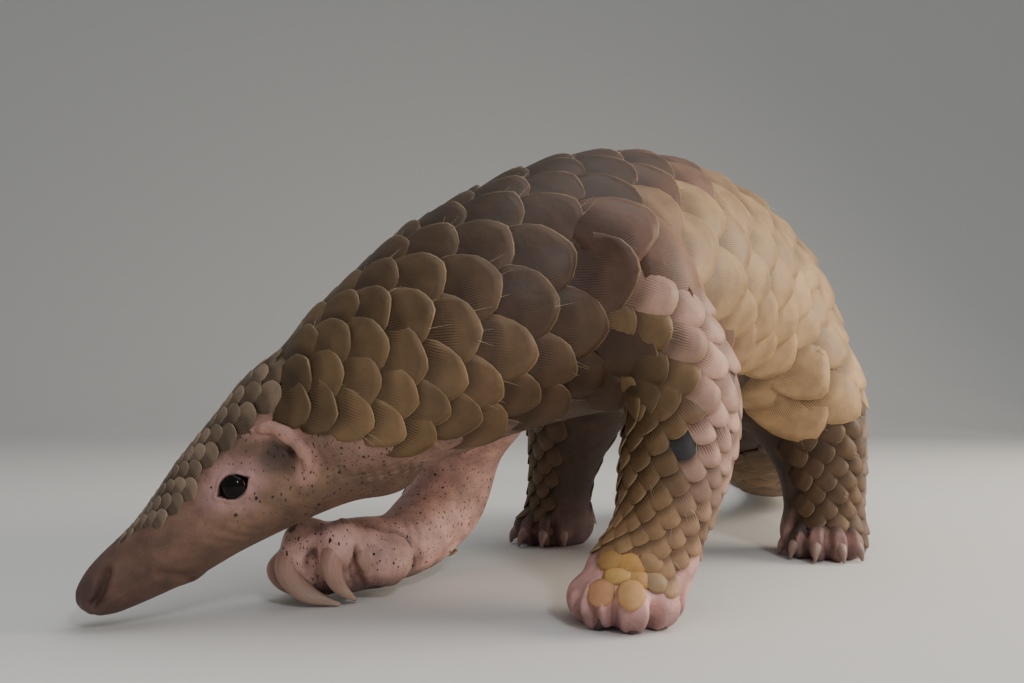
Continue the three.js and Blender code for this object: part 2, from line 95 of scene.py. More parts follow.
def new_material(name, shader_settings):
    """A new material, with its node tree and its shader."""
    material = bpy.data.materials.new(name)
    material.use_nodes = True
    shader = material.node_tree.nodes["Principled BSDF"]
    for key, value in shader_settings.items():
        shader.inputs[key].default_value = value
    return material, material.node_tree, shader


FLOOR_PALE = "#DEDCD7"
FLAT_METRES = 1.6  # how far behind the animal the floor stays flat
floor_bm = bmesh.new()
bmesh.ops.create_grid(floor_bm, x_segments=24, y_segments=24, size=4)
for vertex in floor_bm.verts:
    away = vertex.co.x * forward.x + vertex.co.y * forward.y
    vertex.co.z = 0.9 * max(away - FLAT_METRES, 0) ** 2
floor_mesh = bpy.data.meshes.new("studio_floor")
floor_bm.to_mesh(floor_mesh)
floor_bm.free()
floor_mesh.shade_smooth()
floor = bpy.data.objects.new("studio_floor", floor_mesh)
bpy.context.scene.collection.objects.link(floor)
paper = new_material("matt_studio_paper", {"Base Color": linear(FLOOR_PALE), "Roughness": 0.9})[0]
floor_mesh.materials.append(paper)

world = bpy.data.worlds.new("studio_room")
world.use_nodes = True
room_light = world.node_tree.nodes["Background"].inputs
room_light["Color"].default_value = linear("#E4E8EC")
room_light["Strength"].default_value = 0.36
bpy.context.scene.world = world

# Each panel: its place and aim in millimetres, its side in metres, its power in watts and its colour
PANELS = {
    "panel_overhead": ((150, -350, 1400), (20, 0, 100), 1.3, 9, "#FFFFFF"),
    "panel_tail_side": ((900, -1100, 620), (80, 0, 90), 0.8, 21, "#FFF1DE"),
    "panel_nose_side": ((-500, -900, 700), (-100, 0, 80), 0.14, 3.5, "#F4F6FF"),
}
for name, (place, aim, side, power, colour) in PANELS.items():
    panel_data = bpy.data.lights.new(name, "AREA")
    panel_data.size = side
    panel_data.energy = power
    panel_data.color = linear(colour)[:3]
    panel = bpy.data.objects.new(name, panel_data)
    panel.location = metres(place)
    panel.rotation_mode = "QUATERNION"
    panel.rotation_quaternion = Vector(np.subtract(aim, place)).to_track_quat("-Z", "Y")
    bpy.context.scene.collection.objects.link(panel)


# Skin
# One bare hide over the whole animal, from the snout and its four feet to the tip of the tail. It is thick, dry
# and pale pink, wrinkled at the joints and round the eye, darker at the nose, and specked with soil. Its colours
# carry painted shade as well: near black under the scales, dark brown on the belly, the hind legs and under the
# jaw, and dark in the clefts, low on the feet and in the eye, ear and nostril hollows. The plates of horn grow from
# it, so it lies deeper where they stand.
class Limb:
    """A length of the animal: stations of centre x, y, z, half width, reach above and reach below."""

    def __init__(self, stations, up_guide):
        self.stations = np.array(stations, float)
        self.up_guide = np.array(up_guide, float)

    def at(self, along):
        count = len(self.stations)
        place = np.clip(np.atleast_1d(np.asarray(along, float)), 0, 1) * (count - 1)
        index = np.clip(place.astype(int), 0, count - 2)
        t = (place - index)[:, None]
        first = 2 * self.stations[0] - self.stations[1]
        last = 2 * self.stations[-1] - self.stations[-2]
        points = np.vstack([first, self.stations, last])
        before, start, end, after = (points[index + i] for i in range(4))
        leave, arrive = (end - before) / 2, (after - start) / 2
        cubic = 2 * start - 2 * end + leave + arrive
        square = -3 * start + 3 * end - 2 * leave - arrive
        return cubic * t**3 + square * t**2 + leave * t + start

    def point(self, along, turn, lift=0.0):
        """Points on the surface, turned from the top towards the animal's right, and lifted off it."""
        along, turn, lift = np.broadcast_arrays(np.asarray(along, float), np.asarray(turn, float), lift)
        shape = along.shape
        along, turn, lift = along.ravel(), turn.ravel(), lift.ravel()
        here = self.at(along)
        step = 1e-4
        tangent = self.at(along + step)[:, :3] - self.at(along - step)[:, :3]
        tangent /= np.linalg.norm(tangent, axis=1)[:, None]
        side = np.cross(self.up_guide, tangent)
        side /= np.linalg.norm(side, axis=1)[:, None]
        up = np.cross(tangent, side)
        reach = np.where(np.cos(turn) > 0, here[:, 4], here[:, 5])
        across = np.maximum(here[:, 3] + lift, 0) * np.sin(turn)
        upward = np.maximum(reach + lift, 0) * np.cos(turn)
        places = here[:, :3] + side * across[:, None] + up * upward[:, None]
        return places.reshape(shape + (3,))

    def axes(self, along, turn):
        """At one place: the ways back, round and out, and the millimetres for a unit of along and of turn."""
        step = 1e-3
        back = (self.point(along + step, turn) - self.point(along - step, turn)) / (2 * step)
        round_way = (self.point(along, turn + step) - self.point(along, turn - step)) / (2 * step)
        per_along, per_turn = np.linalg.norm(back), np.linalg.norm(round_way)
        back, round_way = back / per_along, round_way / per_turn
        out = np.cross(back, round_way)
        return back, round_way, out / np.linalg.norm(out), per_along, per_turn


def smoothstep(value, low, high):
    t = np.clip((np.asarray(value, float) - low) / (high - low), 0, 1)
    return t * t * (3 - 2 * t)


UP = (0, 0, 1)
FORWARD = (-1, 0, 0.01)
head = Limb([
    (-211.5, 97.5, 11, 0, 0, 0), (-210.5, 96.5, 11.5, 8, 6.5, 6), (-204.5, 92, 15.5, 11.5, 10.5, 12),
    (-191, 80, 31, 15, 14, 19.5), (-174, 67, 45, 18, 26, 21), (-158, 54, 57, 21, 36, 23),
    (-141, 40, 71, 26, 43, 28), (-122, 25, 82, 28, 40, 31), (-108, 15, 90, 0, 0, 0),
], UP)
body = Limb([
    (-156, 50, 66, 0, 0, 0), (-144, 40, 76, 31, 35, 27), (-122, 26, 92, 45, 49, 37),
    (-94, 12, 108, 57, 60, 42), (-60, 3, 124, 67, 67, 50), (-20, 0, 137, 73, 74, 58),
    (25, 0, 146, 77, 78, 66), (72, 0, 147, 80, 78, 68), (116, 0, 137, 82, 77, 62),
    (154, 0, 117, 79, 73, 52), (184, 0, 91, 67, 61, 42), (211, 4, 64, 50, 40, 30),
    (244, 11, 40, 39, 25, 20), (284, 22, 25, 34, 17, 15), (332, 40, 17, 29, 13, 12),
    (380, 62, 14, 24.5, 11, 11), (426, 90, 11, 20, 9, 9.5), (466, 122, 8.5, 14, 7, 7.5),
    (496, 156, 6, 0, 0, 0),
], UP)
foreleg_left = Limb([
    (-58, -16, 172, 0, 0, 0), (-57, -38, 150, 33, 33, 33), (-47, -56, 120, 31, 30, 30),
    (-39, -69, 92, 27, 24, 32), (-46, -68, 60, 25, 22, 31), (-55, -66, 34, 21, 20, 20),
    (-64, -58, 10, 20, 19, 18), (-64, -58, -14, 0, 0, 0),
], FORWARD)
foreleg_right = Limb([
    (-52, 14, 118, 0, 0, 0), (-46, 38, 98, 30, 30, 30), (-40, 60, 66, 25, 26, 26),
    (-47, 61, 38, 21, 21.5, 21.5), (-69, 56, 26, 18.5, 18.5, 18.5), (-93, 53, 20.5, 16, 15, 16),
    (-126, 59, 19, 15, 14, 14), (-141, 62, 17, 0, 0, 0),
], FORWARD)
hindleg_left = Limb([
    (112, -20, 132, 0, 0, 0), (122, -44, 110, 42, 44, 48), (130, -60, 84, 36, 34, 50),
    (131, -69, 54, 27, 24, 36), (128, -72, 28, 23, 21, 28), (126, -72, 6, 24, 22, 24),
    (126, -72, -14, 0, 0, 0),
], FORWARD)
hindleg_right = Limb([
    (54, 20, 132, 0, 0, 0), (62, 44, 110, 40, 42, 42), (66, 60, 82, 32, 33, 35),
    (68, 70, 52, 24, 24, 26), (66, 73, 28, 21, 21, 23), (64, 72, 6, 23, 22, 23),
    (64, 72, -14, 0, 0, 0),
], FORWARD)
limbs = {
    "head": head, "body": body, "foreleg_left": foreleg_left, "foreleg_right": foreleg_right,
    "hindleg_left": hindleg_left, "hindleg_right": hindleg_right,
}

# Where horn grows on each limb: the middle of its scaled side and its reach each way in degrees, and the shares
# of the limb between which it grows. The body's horn reaches further round towards the belly as it goes back.
HORN_SIDES = {
    "head": (0, None, 0.335, 1.0),
    "body": (0, None, 0.03, 1.0),
    "foreleg_left": (60, 150, 0.0, 0.79),
    "foreleg_right": (-98, 48, 0.0, 0.55),
    "hindleg_left": (100, 130, 0.0, 0.74),
    "hindleg_right": (-100, 130, 0.0, 0.74),
}
BODY_HEM = (
    (0.02, 0.043, 0.068, 0.085, 0.105, 0.13, 0.17, 0.25, 0.35, 0.5, 0.57, 0.63),
    (68, 84, 101, 113, 124, 133, 141, 136, 132, 140, 158, 200),
)
HEAD_HEM = (
    (0.33, 0.353, 0.385, 0.419, 0.471, 0.506, 0.54, 0.63, 0.667, 0.72, 0.78, 0.86, 0.93),
    (30, 38, 51, 60, 66, 62, 57, 58, 55, 51, 57, 70, 80),
)
# How thick the horn grows on each limb, and how far inside the limbs the bare hide lies, in millimetres
HORN_DEPTH = {
    "head": 1.3, "body": 4.3, "foreleg_left": 2.6, "foreleg_right": 2.6, "hindleg_left": 2.6, "hindleg_right": 2.6,
}
HIDE_INSET = 0.4


def horn_grown(name, along, turn):
    """1 where scales grow and 0 on bare skin."""
    middle, reach, start, end = HORN_SIDES[name]
    away = np.asarray(turn, float) - math.radians(middle)
    degrees = np.abs(np.degrees(np.arctan2(np.sin(away), np.cos(away))))
    if name == "body":
        reach = np.interp(along, *BODY_HEM)
    if name == "head":
        reach = np.interp(along, *HEAD_HEM)
    if name == "foreleg_left":  # its outer side is bare further up
        end = end - 0.1 * np.exp(-((degrees - 35) / 32) ** 2) * (np.sin(away) > 0)
    if name == "hindleg_left":  # and its scales reach the heel behind
        end = end + 0.1 * smoothstep(np.degrees(np.asarray(turn, float)), 70, 110)
    grown = 1 - smoothstep(degrees, reach - 5, reach + 5)
    return grown * smoothstep(along, start - 0.02, start + 0.02) * (1 - smoothstep(along, end, end + 0.04))


def add_tube(bm, limb, rings, sides, lift):
    """Wraps a grid round a limb as a tube, lifted off it by lift(along, turn), and returns its vertices."""
    made = bmesh.ops.create_grid(bm, x_segments=sides, y_segments=rings, size=1)["verts"]
    along = np.array([(vertex.co.y + 1) / 2 for vertex in made])
    turn = np.array([(vertex.co.x + 1) * math.pi for vertex in made])
    for vertex, place in zip(made, metres(limb.point(along, turn, lift(along, turn)))):
        vertex.co = place
    return made


def add_ball(bm, centre, sizes, heading=0.0):
    """A ball with its own half length, half width and half height, turned towards a heading."""
    made = bmesh.ops.create_uvsphere(bm, u_segments=16, v_segments=10, radius=1)["verts"]
    bmesh.ops.scale(bm, vec=[size / 1000 for size in sizes], verts=made)
    bmesh.ops.rotate(bm, cent=(0, 0, 0), matrix=Matrix.Rotation(heading, 3, "Z"), verts=made)
    bmesh.ops.translate(bm, vec=metres(centre), verts=made)


# Each standing foot: its middle, the way it points and the turn between toes in degrees, how far out the toes lie,
# half sizes of a toe, the heights between which the clefts fade, and a claw's line as (reach, height) with its radius
TOE_LENGTHS = (0.86, 0.96, 1.04, 0.98, 0.86)
FEET = {
    "front_left": {
        "centre": (-65.5, -56.5), "heading": 220, "spread": 37, "reach": 16, "toe": (11.5, 11, 10.6), "cleft": (9, 16),
        "claw": ((21.5, 3.8), (17.5, 2.6), (12.5, 1.6), (7, 1.0)), "radius": 3.2,
    },
    "hind_left": {
        "centre": (126, -72), "heading": 190, "spread": 27, "reach": 18.5, "toe": (11, 7.2, 10.5), "cleft": (14, 22),
        "claw": ((15, 8), (23, 9.5), (29, 6.5), (31.5, 1)), "radius": 5.6,
    },
    "hind_right": {
        "centre": (64, 72), "heading": 172, "spread": 27, "reach": 18, "toe": (11, 7.2, 10.5), "cleft": (14, 22),
        "claw": ((15, 8), (22.5, 9.5), (28.5, 6.5), (31, 1)), "radius": 5.6,
    },
}
# The right forepaw, rolled inward: its pads as (middle, half sizes), and its claws as (line, radius)
WRIST_PADS = (((-99, 52, 18), (15, 13, 15)), ((-104.5, 40.5, 17.5), (12.5, 8.5, 12)))
PAW_CLAWS = (
    (((-115, 44, 27), (-119, 40.5, 20), (-114.5, 40.5, 12.5)), 4.2),
    (((-126, 47, 29), (-132.5, 44.5, 20), (-128.5, 45, 10), (-117.5, 46.5, 1.5)), 6.6),
    (((-132, 62, 27), (-140.5, 63, 17), (-136, 57.5, 6.5), (-125.5, 47.5, 1)), 8.2),
    (((-130, 74, 21), (-137, 78, 14), (-133, 76, 6), (-124, 68, 1)), 5),
    (((-121, 78, 17), (-126, 83, 12), (-122, 82, 6), (-115, 77, 1)), 3.6),
)


def toe_places(foot):
    """For each of a foot's five toes: its heading, its way out, and a function from reach and height to a place."""
    for toe in range(5):
        heading = math.radians(foot["heading"] + (toe - 2) * foot["spread"])
        outward = np.array([math.cos(heading), math.sin(heading), 0])
        centre = np.array([*foot["centre"], 0])
        yield heading, outward, lambda reach, height, outward=outward, centre=centre, toe=toe: (
            centre + outward * reach * TOE_LENGTHS[toe] + np.array([0, 0, height])
        )


def soften(bm, verts, times):
    """Moves each vertex halfway to the middle of its neighbours, a number of times."""
    for _ in range(times):
        bmesh.ops.smooth_vert(bm, verts=verts, factor=0.5, use_axis_x=True, use_axis_y=True, use_axis_z=True)


def seal(bm, end_sides=0):
    """Welds the seams of tubes, closes their open ends of up to so many sides, and turns all faces outward."""
    bmesh.ops.remove_doubles(bm, verts=bm.verts, dist=1e-6)
    if end_sides:
        bmesh.ops.holes_fill(bm, edges=bm.edges, sides=end_sides)
    bmesh.ops.recalc_face_normals(bm, faces=bm.faces)


HIDE_SIDES = 48
THIN_TAIL = (0.88, 0.95)  # where the horn thins towards the tail's end
hide_bm = bmesh.new()
for name, limb in limbs.items():
    depth = HORN_DEPTH[name]
    thinner = 0.8 if name == "body" else 0.0
    add_tube(hide_bm, limb, 70 if name == "body" else 40, HIDE_SIDES, lambda along, turn: (
        -depth * horn_grown(name, along, turn) * (1 - thinner * smoothstep(along, *THIN_TAIL)) - HIDE_INSET))
for foot in FEET.values():
    for heading, _, place in toe_places(foot):
        add_ball(hide_bm, place(foot["reach"], foot["toe"][2] - 1), [s - HIDE_INSET for s in foot["toe"]], heading)
for pad in WRIST_PADS:
    add_ball(hide_bm, *pad)
for points, radius in PAW_CLAWS:  # the skin of each digit runs down over the root of its claw
    add_ball(hide_bm, points[0], [radius * share for share in (1.5, 1.12, 1.3)])
    add_ball(hide_bm, np.add(points[0], points[1]) / 2 + (0.5, 0, 0), [radius * share for share in (1.12, 1.08, 1.2)])
seal(hide_bm)


def finished_object(name, bm):
    mesh = bpy.data.meshes.new(name)
    bm.to_mesh(mesh)
    bm.free()
    mesh.shade_smooth()
    piece = bpy.data.objects.new(name, mesh)
    bpy.context.scene.collection.objects.link(piece)
    return piece


def apply_modifiers(piece):
    depsgraph = bpy.context.evaluated_depsgraph_get()
    mesh = bpy.data.meshes.new_from_object(piece.evaluated_get(depsgraph))
    piece.modifiers.clear()
    old = piece.data
    piece.data = mesh
    bpy.data.meshes.remove(old)
    mesh.name = piece.name


# The limbs, toes and pads are fused into one skin on a net of small cubes
VOXEL_METRES = 0.0022
hide = finished_object("hide", hide_bm)
remesh = hide.modifiers.new("fuse", "REMESH")
remesh.mode = "VOXEL"
remesh.voxel_size = VOXEL_METRES
apply_modifiers(hide)

hide_bm = bmesh.new()
hide_bm.from_mesh(hide.data)
soften(hide_bm, hide_bm.verts, 3)

# The shoulders and thighs run into the flanks without a crease, because the scales lie across them
LEG_TOP = 0.078
NECK_END = metres((-88, 0, 0))[0]
joint_verts = [vertex for vertex in hide_bm.verts if vertex.co.z > LEG_TOP and vertex.co.x > NECK_END]
soften(hide_bm, joint_verts, 36)

# The face and feet get a finer net before their folds are pressed in. Places on the head are (along, degrees), and
# the ear's ridge has a radius in millimetres as well.
EYE_PLACE = (0.571, 83)
EAR_HOLLOW_PLACE = (0.69, 83)
NOSTRIL_LINE = ((0.3, 72), (0.286, 80), (0.27, 90), (0.243, 99), (0.222, 103))
CHIN_FOLD = ((0.37, 122), (0.395, 140), (0.4, 165))
MOUTH_LINE = ((0.4, 118), (0.31, 124), (0.22, 136), (0.17, 158), (0.16, 180))
EAR_RIDGE = (
    (0.656, 60, 1.0), (0.675, 63, 2.4), (0.697, 69, 3.4), (0.712, 80, 3.6), (0.717, 90, 3.4), (0.71, 99, 2.6),
    (0.694, 106, 1.2),
)


def refine(bm, is_near):
    """Splits the edges that have both ends near, so that the net is finer there."""
    edges = [edge for edge in bm.edges if all(is_near(vertex.co) for vertex in edge.verts)]
    bmesh.ops.subdivide_edges(bm, edges=edges, cuts=1, use_grid_fill=True)


def head_place(place, side=1, lift=0.0):
    """A place on the head in metres, from its (along, degrees), on the left for -1 and on the right for 1."""
    return metres(head.point(place[0], math.radians(place[1] * side), lift))


FACE_END = metres((-112, 0, 0))[0]
FEET_END = metres((160, 0, 0))[0]
FACE_TOP, FOOT_TOP = 0.125, 0.026
refine(hide_bm, lambda co: co.x < FACE_END and co.z < FACE_TOP)
refine(hide_bm, lambda co: FACE_END <= co.x < FEET_END and co.z < FOOT_TOP)
FINE_SPOTS = [(Vector(head_place(place, side)), reach) for side in (-1, 1) for place, reach in (
    (EYE_PLACE, 0.014), (NOSTRIL_LINE[2], 0.011), (EAR_HOLLOW_PLACE, 0.012))]
refine(hide_bm, lambda co: any((co - spot).length < reach for spot, reach in FINE_SPOTS))
soften(hide_bm, [vertex for vertex in hide_bm.verts if vertex.co.x < FACE_END or vertex.co.z < FOOT_TOP], 2)

# The eyeball's radius, how deep its middle lies, and half the opening of the lids, in millimetres
EYE_RADIUS = 6.0
EYE_SINK = 3.3
EYE_HALF_LENGTH = 6.1
EYE_HALF_HEIGHT = 4.1
hide_bm.normal_update()
hide_places = np.array([vertex.co for vertex in hide_bm.verts])
hide_ways = np.array([vertex.normal for vertex in hide_bm.verts])


def press(centre, axes, reach, height):
    """Moves the hide near a place on the head along its outward way by height(back, down, out), in millimetres."""
    offset = (hide_places - centre) * 1000
    near = np.linalg.norm(offset, axis=1) < reach
    fade = 1 - smoothstep(np.linalg.norm(offset[near], axis=1), reach * 0.75, reach)
    moved = height(*(offset[near] @ np.array(axis) for axis in axes)) * fade
    hide_places[near] += np.array(axes[2]) * moved[:, None] / 1000


def line_distance(places, line):
    """How far places are from a line of points, in millimetres."""
    nearest = np.full(len(places), 1e6)
    for start, end in zip(line[:-1], line[1:]):
        way = end - start
        t = np.clip((places - start) @ way / max(way @ way, 1e-12), 0, 1)
        nearest = np.minimum(nearest, np.linalg.norm(places - start - t[:, None] * way, axis=1))
    return nearest * 1000


def crease(line, depth, width, lip=0.4):
    """Sinks the hide along a line of points, between two soft lips."""
    gap = line_distance(hide_places, [np.array(point) for point in line])
    groove = lip * depth * np.exp(-((gap - 2.4 * width) / width) ** 2) - depth * np.exp(-(gap / width) ** 2)
    hide_places[:] += hide_ways * groove[:, None] / 1000


def eye_gap(a, b):
    """How far a spot is outside the almond opening of the lids, which is turned a little down at the front."""
    tilt = math.radians(3)
    a, b = a * math.cos(tilt) - b * math.sin(tilt), a * math.sin(tilt) + b * math.cos(tilt)
    half = EYE_HALF_HEIGHT * np.maximum(1 - np.abs(a / EYE_HALF_LENGTH) ** 2.2, 0)
    return np.where(np.abs(a) < EYE_HALF_LENGTH, np.abs(b) - half, np.hypot(np.abs(a) - EYE_HALF_LENGTH, b)), b


def eye_fold(a, b, c):
    gap, b = eye_gap(a, b)
    ball = np.sqrt(np.maximum(EYE_RADIUS**2 - a * a - b * b, 0)) - EYE_SINK
    lid = np.where(b < 0, 1.9, 1.3) * np.exp(-((gap - 1.4) / 1.3) ** 2)
    folds = -0.5 * np.exp(-((gap - 3.4) / 0.55) ** 2) - 0.35 * np.exp(-((gap - 5.4) / 0.5) ** 2)
    hollow = np.where(b < 0, -0.9, -0.4) * np.exp(-((gap - 6.5) / 3.5) ** 2)
    over_ball = np.maximum(ball + 0.5 - c, 0) * (1 - smoothstep(gap, 1.6, 2.8))
    return np.where(gap < 0, -2.2 - c, np.maximum(lid + folds + hollow, over_ball))


def ear_fold(a, b, c):
    bowl = np.exp(-((a + 3.0) / 5.5) ** 2 - (b / 7.0) ** 2)
    pit = np.exp(-((a - 1.5) / 1.7) ** 2 - ((b - 0.5) / 2.4) ** 2)
    return -2.4 * bowl - 3.0 * pit


for side in (-1, 1):
    for place, reach, fold in ((EYE_PLACE, 13, eye_fold), (EAR_HOLLOW_PLACE, 15, ear_fold)):
        back, round_way, out, _, _ = head.axes(place[0], math.radians(place[1] * side))
        press(head_place(place, side, -HIDE_INSET), (back, round_way * side, out), reach, fold)
    # The nostril is a comma-shaped slit behind a swollen rim, and the lips part along one line round the snout
    crease([head_place(place, side, -HIDE_INSET) for place in NOSTRIL_LINE], 2.6, 1.5, 0.3)
    crease([head_place(place, side, -HIDE_INSET) for place in MOUTH_LINE], 0.3, 0.8)
    crease([head_place(place, side, -HIDE_INSET) for place in CHIN_FOLD], 0.9, 1.6, 0.5)
    for share in (0.47, 0.5, 0.53):  # folds of the cheek behind the lips
        crease([head_place((share + 0.02 * k, 112 + 14 * k), side, -HIDE_INSET) for k in range(3)], 0.3, 0.9)
for foot in FEET.values():  # clefts part the toes down to the floor
    offset = hide_places * 1000 + FOOTPRINT_CENTRE - (*foot["centre"], 0)
    reach = foot["reach"] + foot["toe"][0]
    for gap in range(4):
        heading = math.radians(foot["heading"] + (gap - 1.5) * foot["spread"])
        outward = np.array([math.cos(heading), math.sin(heading), 0])
        aside = offset @ np.array([-outward[1], outward[0], 0])
        ahead = offset @ outward
        near = smoothstep(ahead, reach * 0.5, reach * 0.82) * (ahead > 0)
        near = near * (1 - smoothstep(offset[:, 2], *foot["cleft"]))
        cleft = near * (0.25 * np.exp(-((np.abs(aside) - 4.2) / 1.8) ** 2) - np.exp(-(aside / 1.7) ** 2))
        hide_places += hide_ways * (3.4 * cleft)[:, None] / 1000
# Clefts between the digits of the right forepaw, the fold round its pad, and folds inside the wrist, as (line,
# depth, width)
PAW_FOLDS = (
    (((-134, 55, 26), (-136.5, 53, 20), (-133, 51, 12), (-125, 51, 4)), 3.4, 2.0),
    (((-122, 46, 33), (-123.5, 42.5, 25), (-121, 43, 15), (-116, 45, 7)), 2.8, 1.8),
    (((-117, 51, 34), (-106, 45, 32), (-95.5, 39, 25), (-91.5, 39, 14), (-95, 43, 5)), 2.3, 1.6),
    (((-88, 42, 33), (-89, 36, 22), (-85, 40, 9)), 0.7, 1.0),
    (((-92, 44, 33), (-92.5, 36, 25), (-89, 37, 16)), 0.6, 0.9),
)
for points, depth, width in PAW_FOLDS:
    crease([metres(point) for point in points], depth, width, 0.25)
HIDE_LOWEST = 0.0003  # in metres above the floor
for vertex, place in zip(hide_bm.verts, hide_places):
    vertex.co = place
    vertex.co.z = max(vertex.co.z, HIDE_LOWEST)
bmesh.ops.recalc_face_normals(hide_bm, faces=hide_bm.faces)
hide_bm.to_mesh(hide.data)
hide_bm.free()
hide.data.shade_smooth()

# Every place on the hide is known by its limb and its along and turn there, found from a net of places on all
# limbs. Colours and the flat map that textures are baked on both come from that. A limb's chart is its left and
# lower edge, its width and its height on the flat map.
CHARTS = {
    "body": (0.02, 0.52, 0.96, 0.46), "head": (0.02, 0.02, 0.24, 0.46),
    "foreleg_left": (0.28, 0.02, 0.16, 0.46), "foreleg_right": (0.46, 0.02, 0.16, 0.46),
    "hindleg_left": (0.64, 0.02, 0.16, 0.46), "hindleg_right": (0.82, 0.02, 0.16, 0.46),
}


def chart_place(name, along, turn):
    """A place's own spot on the flat map."""
    left, low, width, height = CHARTS[name]
    round_share = (np.asarray(turn, float) / (2 * math.pi) + 0.5) % 1.0
    return left + width * np.asarray(along, float), low + height * round_share


NET_SIDES = 64
NET_STEP = 1e-3
net = {"name": [], "along": [], "turn": [], "place": [], "back": [], "round": []}
for name, limb in limbs.items():
    rows = np.linspace(0.01, 0.99, 120 if name == "body" else 60)
    along, turn = np.meshgrid(rows, np.linspace(0, 2 * math.pi, NET_SIDES, endpoint=False))
    along, turn = along.ravel(), turn.ravel()
    net["name"] += [name] * len(along)
    net["along"].append(along)
    net["turn"].append(turn)
    net["place"].append(metres(limb.point(along, turn, -HORN_DEPTH[name] * horn_grown(name, along, turn))))
    for key, step, twist in (("back", NET_STEP, 0), ("round", 0, NET_STEP)):
        change = limb.point(along + step, turn + twist) - limb.point(along - step, turn - twist)
        net[key].append(change / (2 * NET_STEP) / 1000)
for key in ("along", "turn", "place", "back", "round"):
    net[key] = np.concatenate(net[key])
net["name"] = np.array(net["name"])
net_tree = KDTree(len(net["along"]))
for index, place in enumerate(net["place"]):
    net_tree.insert(place, index)
net_tree.balance()


def known_places(places):
    """For each place in metres, the nearest place of the net, its limb, and its along and turn."""
    nearest = np.array([net_tree.find(Vector(place))[1] for place in places])
    offset = places - net["place"][nearest]
    back, round_way = net["back"][nearest], net["round"][nearest]
    along = net["along"][nearest] + np.sum(offset * back, 1) / np.maximum(np.sum(back * back, 1), 1e-9)
    turn = net["turn"][nearest] + np.sum(offset * round_way, 1) / np.maximum(np.sum(round_way * round_way, 1), 1e-9)
    return nearest, net["name"][nearest], along, turn


def vertex_places(mesh):
    places = np.empty(len(mesh.vertices) * 3)
    mesh.vertices.foreach_get("co", places)
    return places.reshape(-1, 3)


def lay_bake_map(mesh):
    """Gives every face its spot on the flat map, as part of its limb's own chart."""
    places = vertex_places(mesh)
    centres = np.empty(len(mesh.polygons) * 3)
    mesh.polygons.foreach_get("center", centres)
    centres = centres.reshape(-1, 3)
    nearest, names, along, turn = known_places(centres)
    back, round_way = net["back"][nearest], net["round"][nearest]
    counts = np.empty(len(mesh.polygons), int)
    mesh.polygons.foreach_get("loop_total", counts)
    corners = np.empty(len(mesh.loops), int)
    mesh.loops.foreach_get("vertex_index", corners)
    face_of = np.repeat(np.arange(len(counts)), counts)
    offset = places[corners] - centres[face_of]
    d_along = np.sum(offset * back[face_of], 1) / np.maximum(np.sum(back[face_of] ** 2, 1), 1e-7)
    d_turn = np.sum(offset * round_way[face_of], 1) / np.maximum(np.sum(round_way[face_of] ** 2, 1), 1e-7)
    flat = np.empty((len(corners), 2))
    for name, (left, low, width, height) in CHARTS.items():
        mine = (names == name)[face_of]
        u, v = chart_place(name, along, turn)
        flat[mine, 0] = (u[face_of] + width * np.clip(d_along, -0.05, 0.05))[mine]
        flat[mine, 1] = (v[face_of] + height * np.clip(d_turn / (2 * math.pi), -0.05, 0.05))[mine]
    bake_map = mesh.uv_layers.new(name="OFBake")
    bake_map.data.foreach_set("uv", np.clip(flat, 0, 1).ravel())


def paint(mesh, name, colours):
    layer = mesh.attributes.new(name, "FLOAT_COLOR", "POINT")
    layer.data.foreach_set("color", np.asarray(colours, np.float32).ravel())


def blend(colours, *layers):
    """Blends rows of colours towards other colours in turn, each by its share for each row."""
    for other, share in layers:
        share = np.clip(np.asarray(share, float), 0, 1)[:, None]
        colours = colours * (1 - share) + np.array(linear(other)) * share
    return colours


FACE_PINK = "#80604F"
FACE_WARM = "#8E7058"
SNOUT_BROWN_AND_JAW_SHADE = "#5C4034"
NOSE_MAUVE = "#4A322E"
LID_PINK = "#B48B84"
EYE_AND_NOSTRIL_SHADE = "#1A1212"
THROAT_PINK = "#8C6B5B"
BELLY_SHADE_BROWN = "#47362A"
PAW_PINK = "#C89D90"
FOOT_PINK = "#D2A096"
LOW_FOOT_SHADE = "#7A5F60"
SHADE_UNDER_HORN = "#34271E"
HIND_LEG_SHADE = "#4A382C"
SCRATCH_RED = "#8A2E20"
EAR_PINK = "#AE8374"
EAR_HOLLOW_SHADE = "#33261F"
PAW_CLEFT_SHADE = "#2C1913"
SCRATCH_LINE = ((0.53, -52), (0.556, -58), (0.58, -63), (0.605, -66), (0.64, -67))


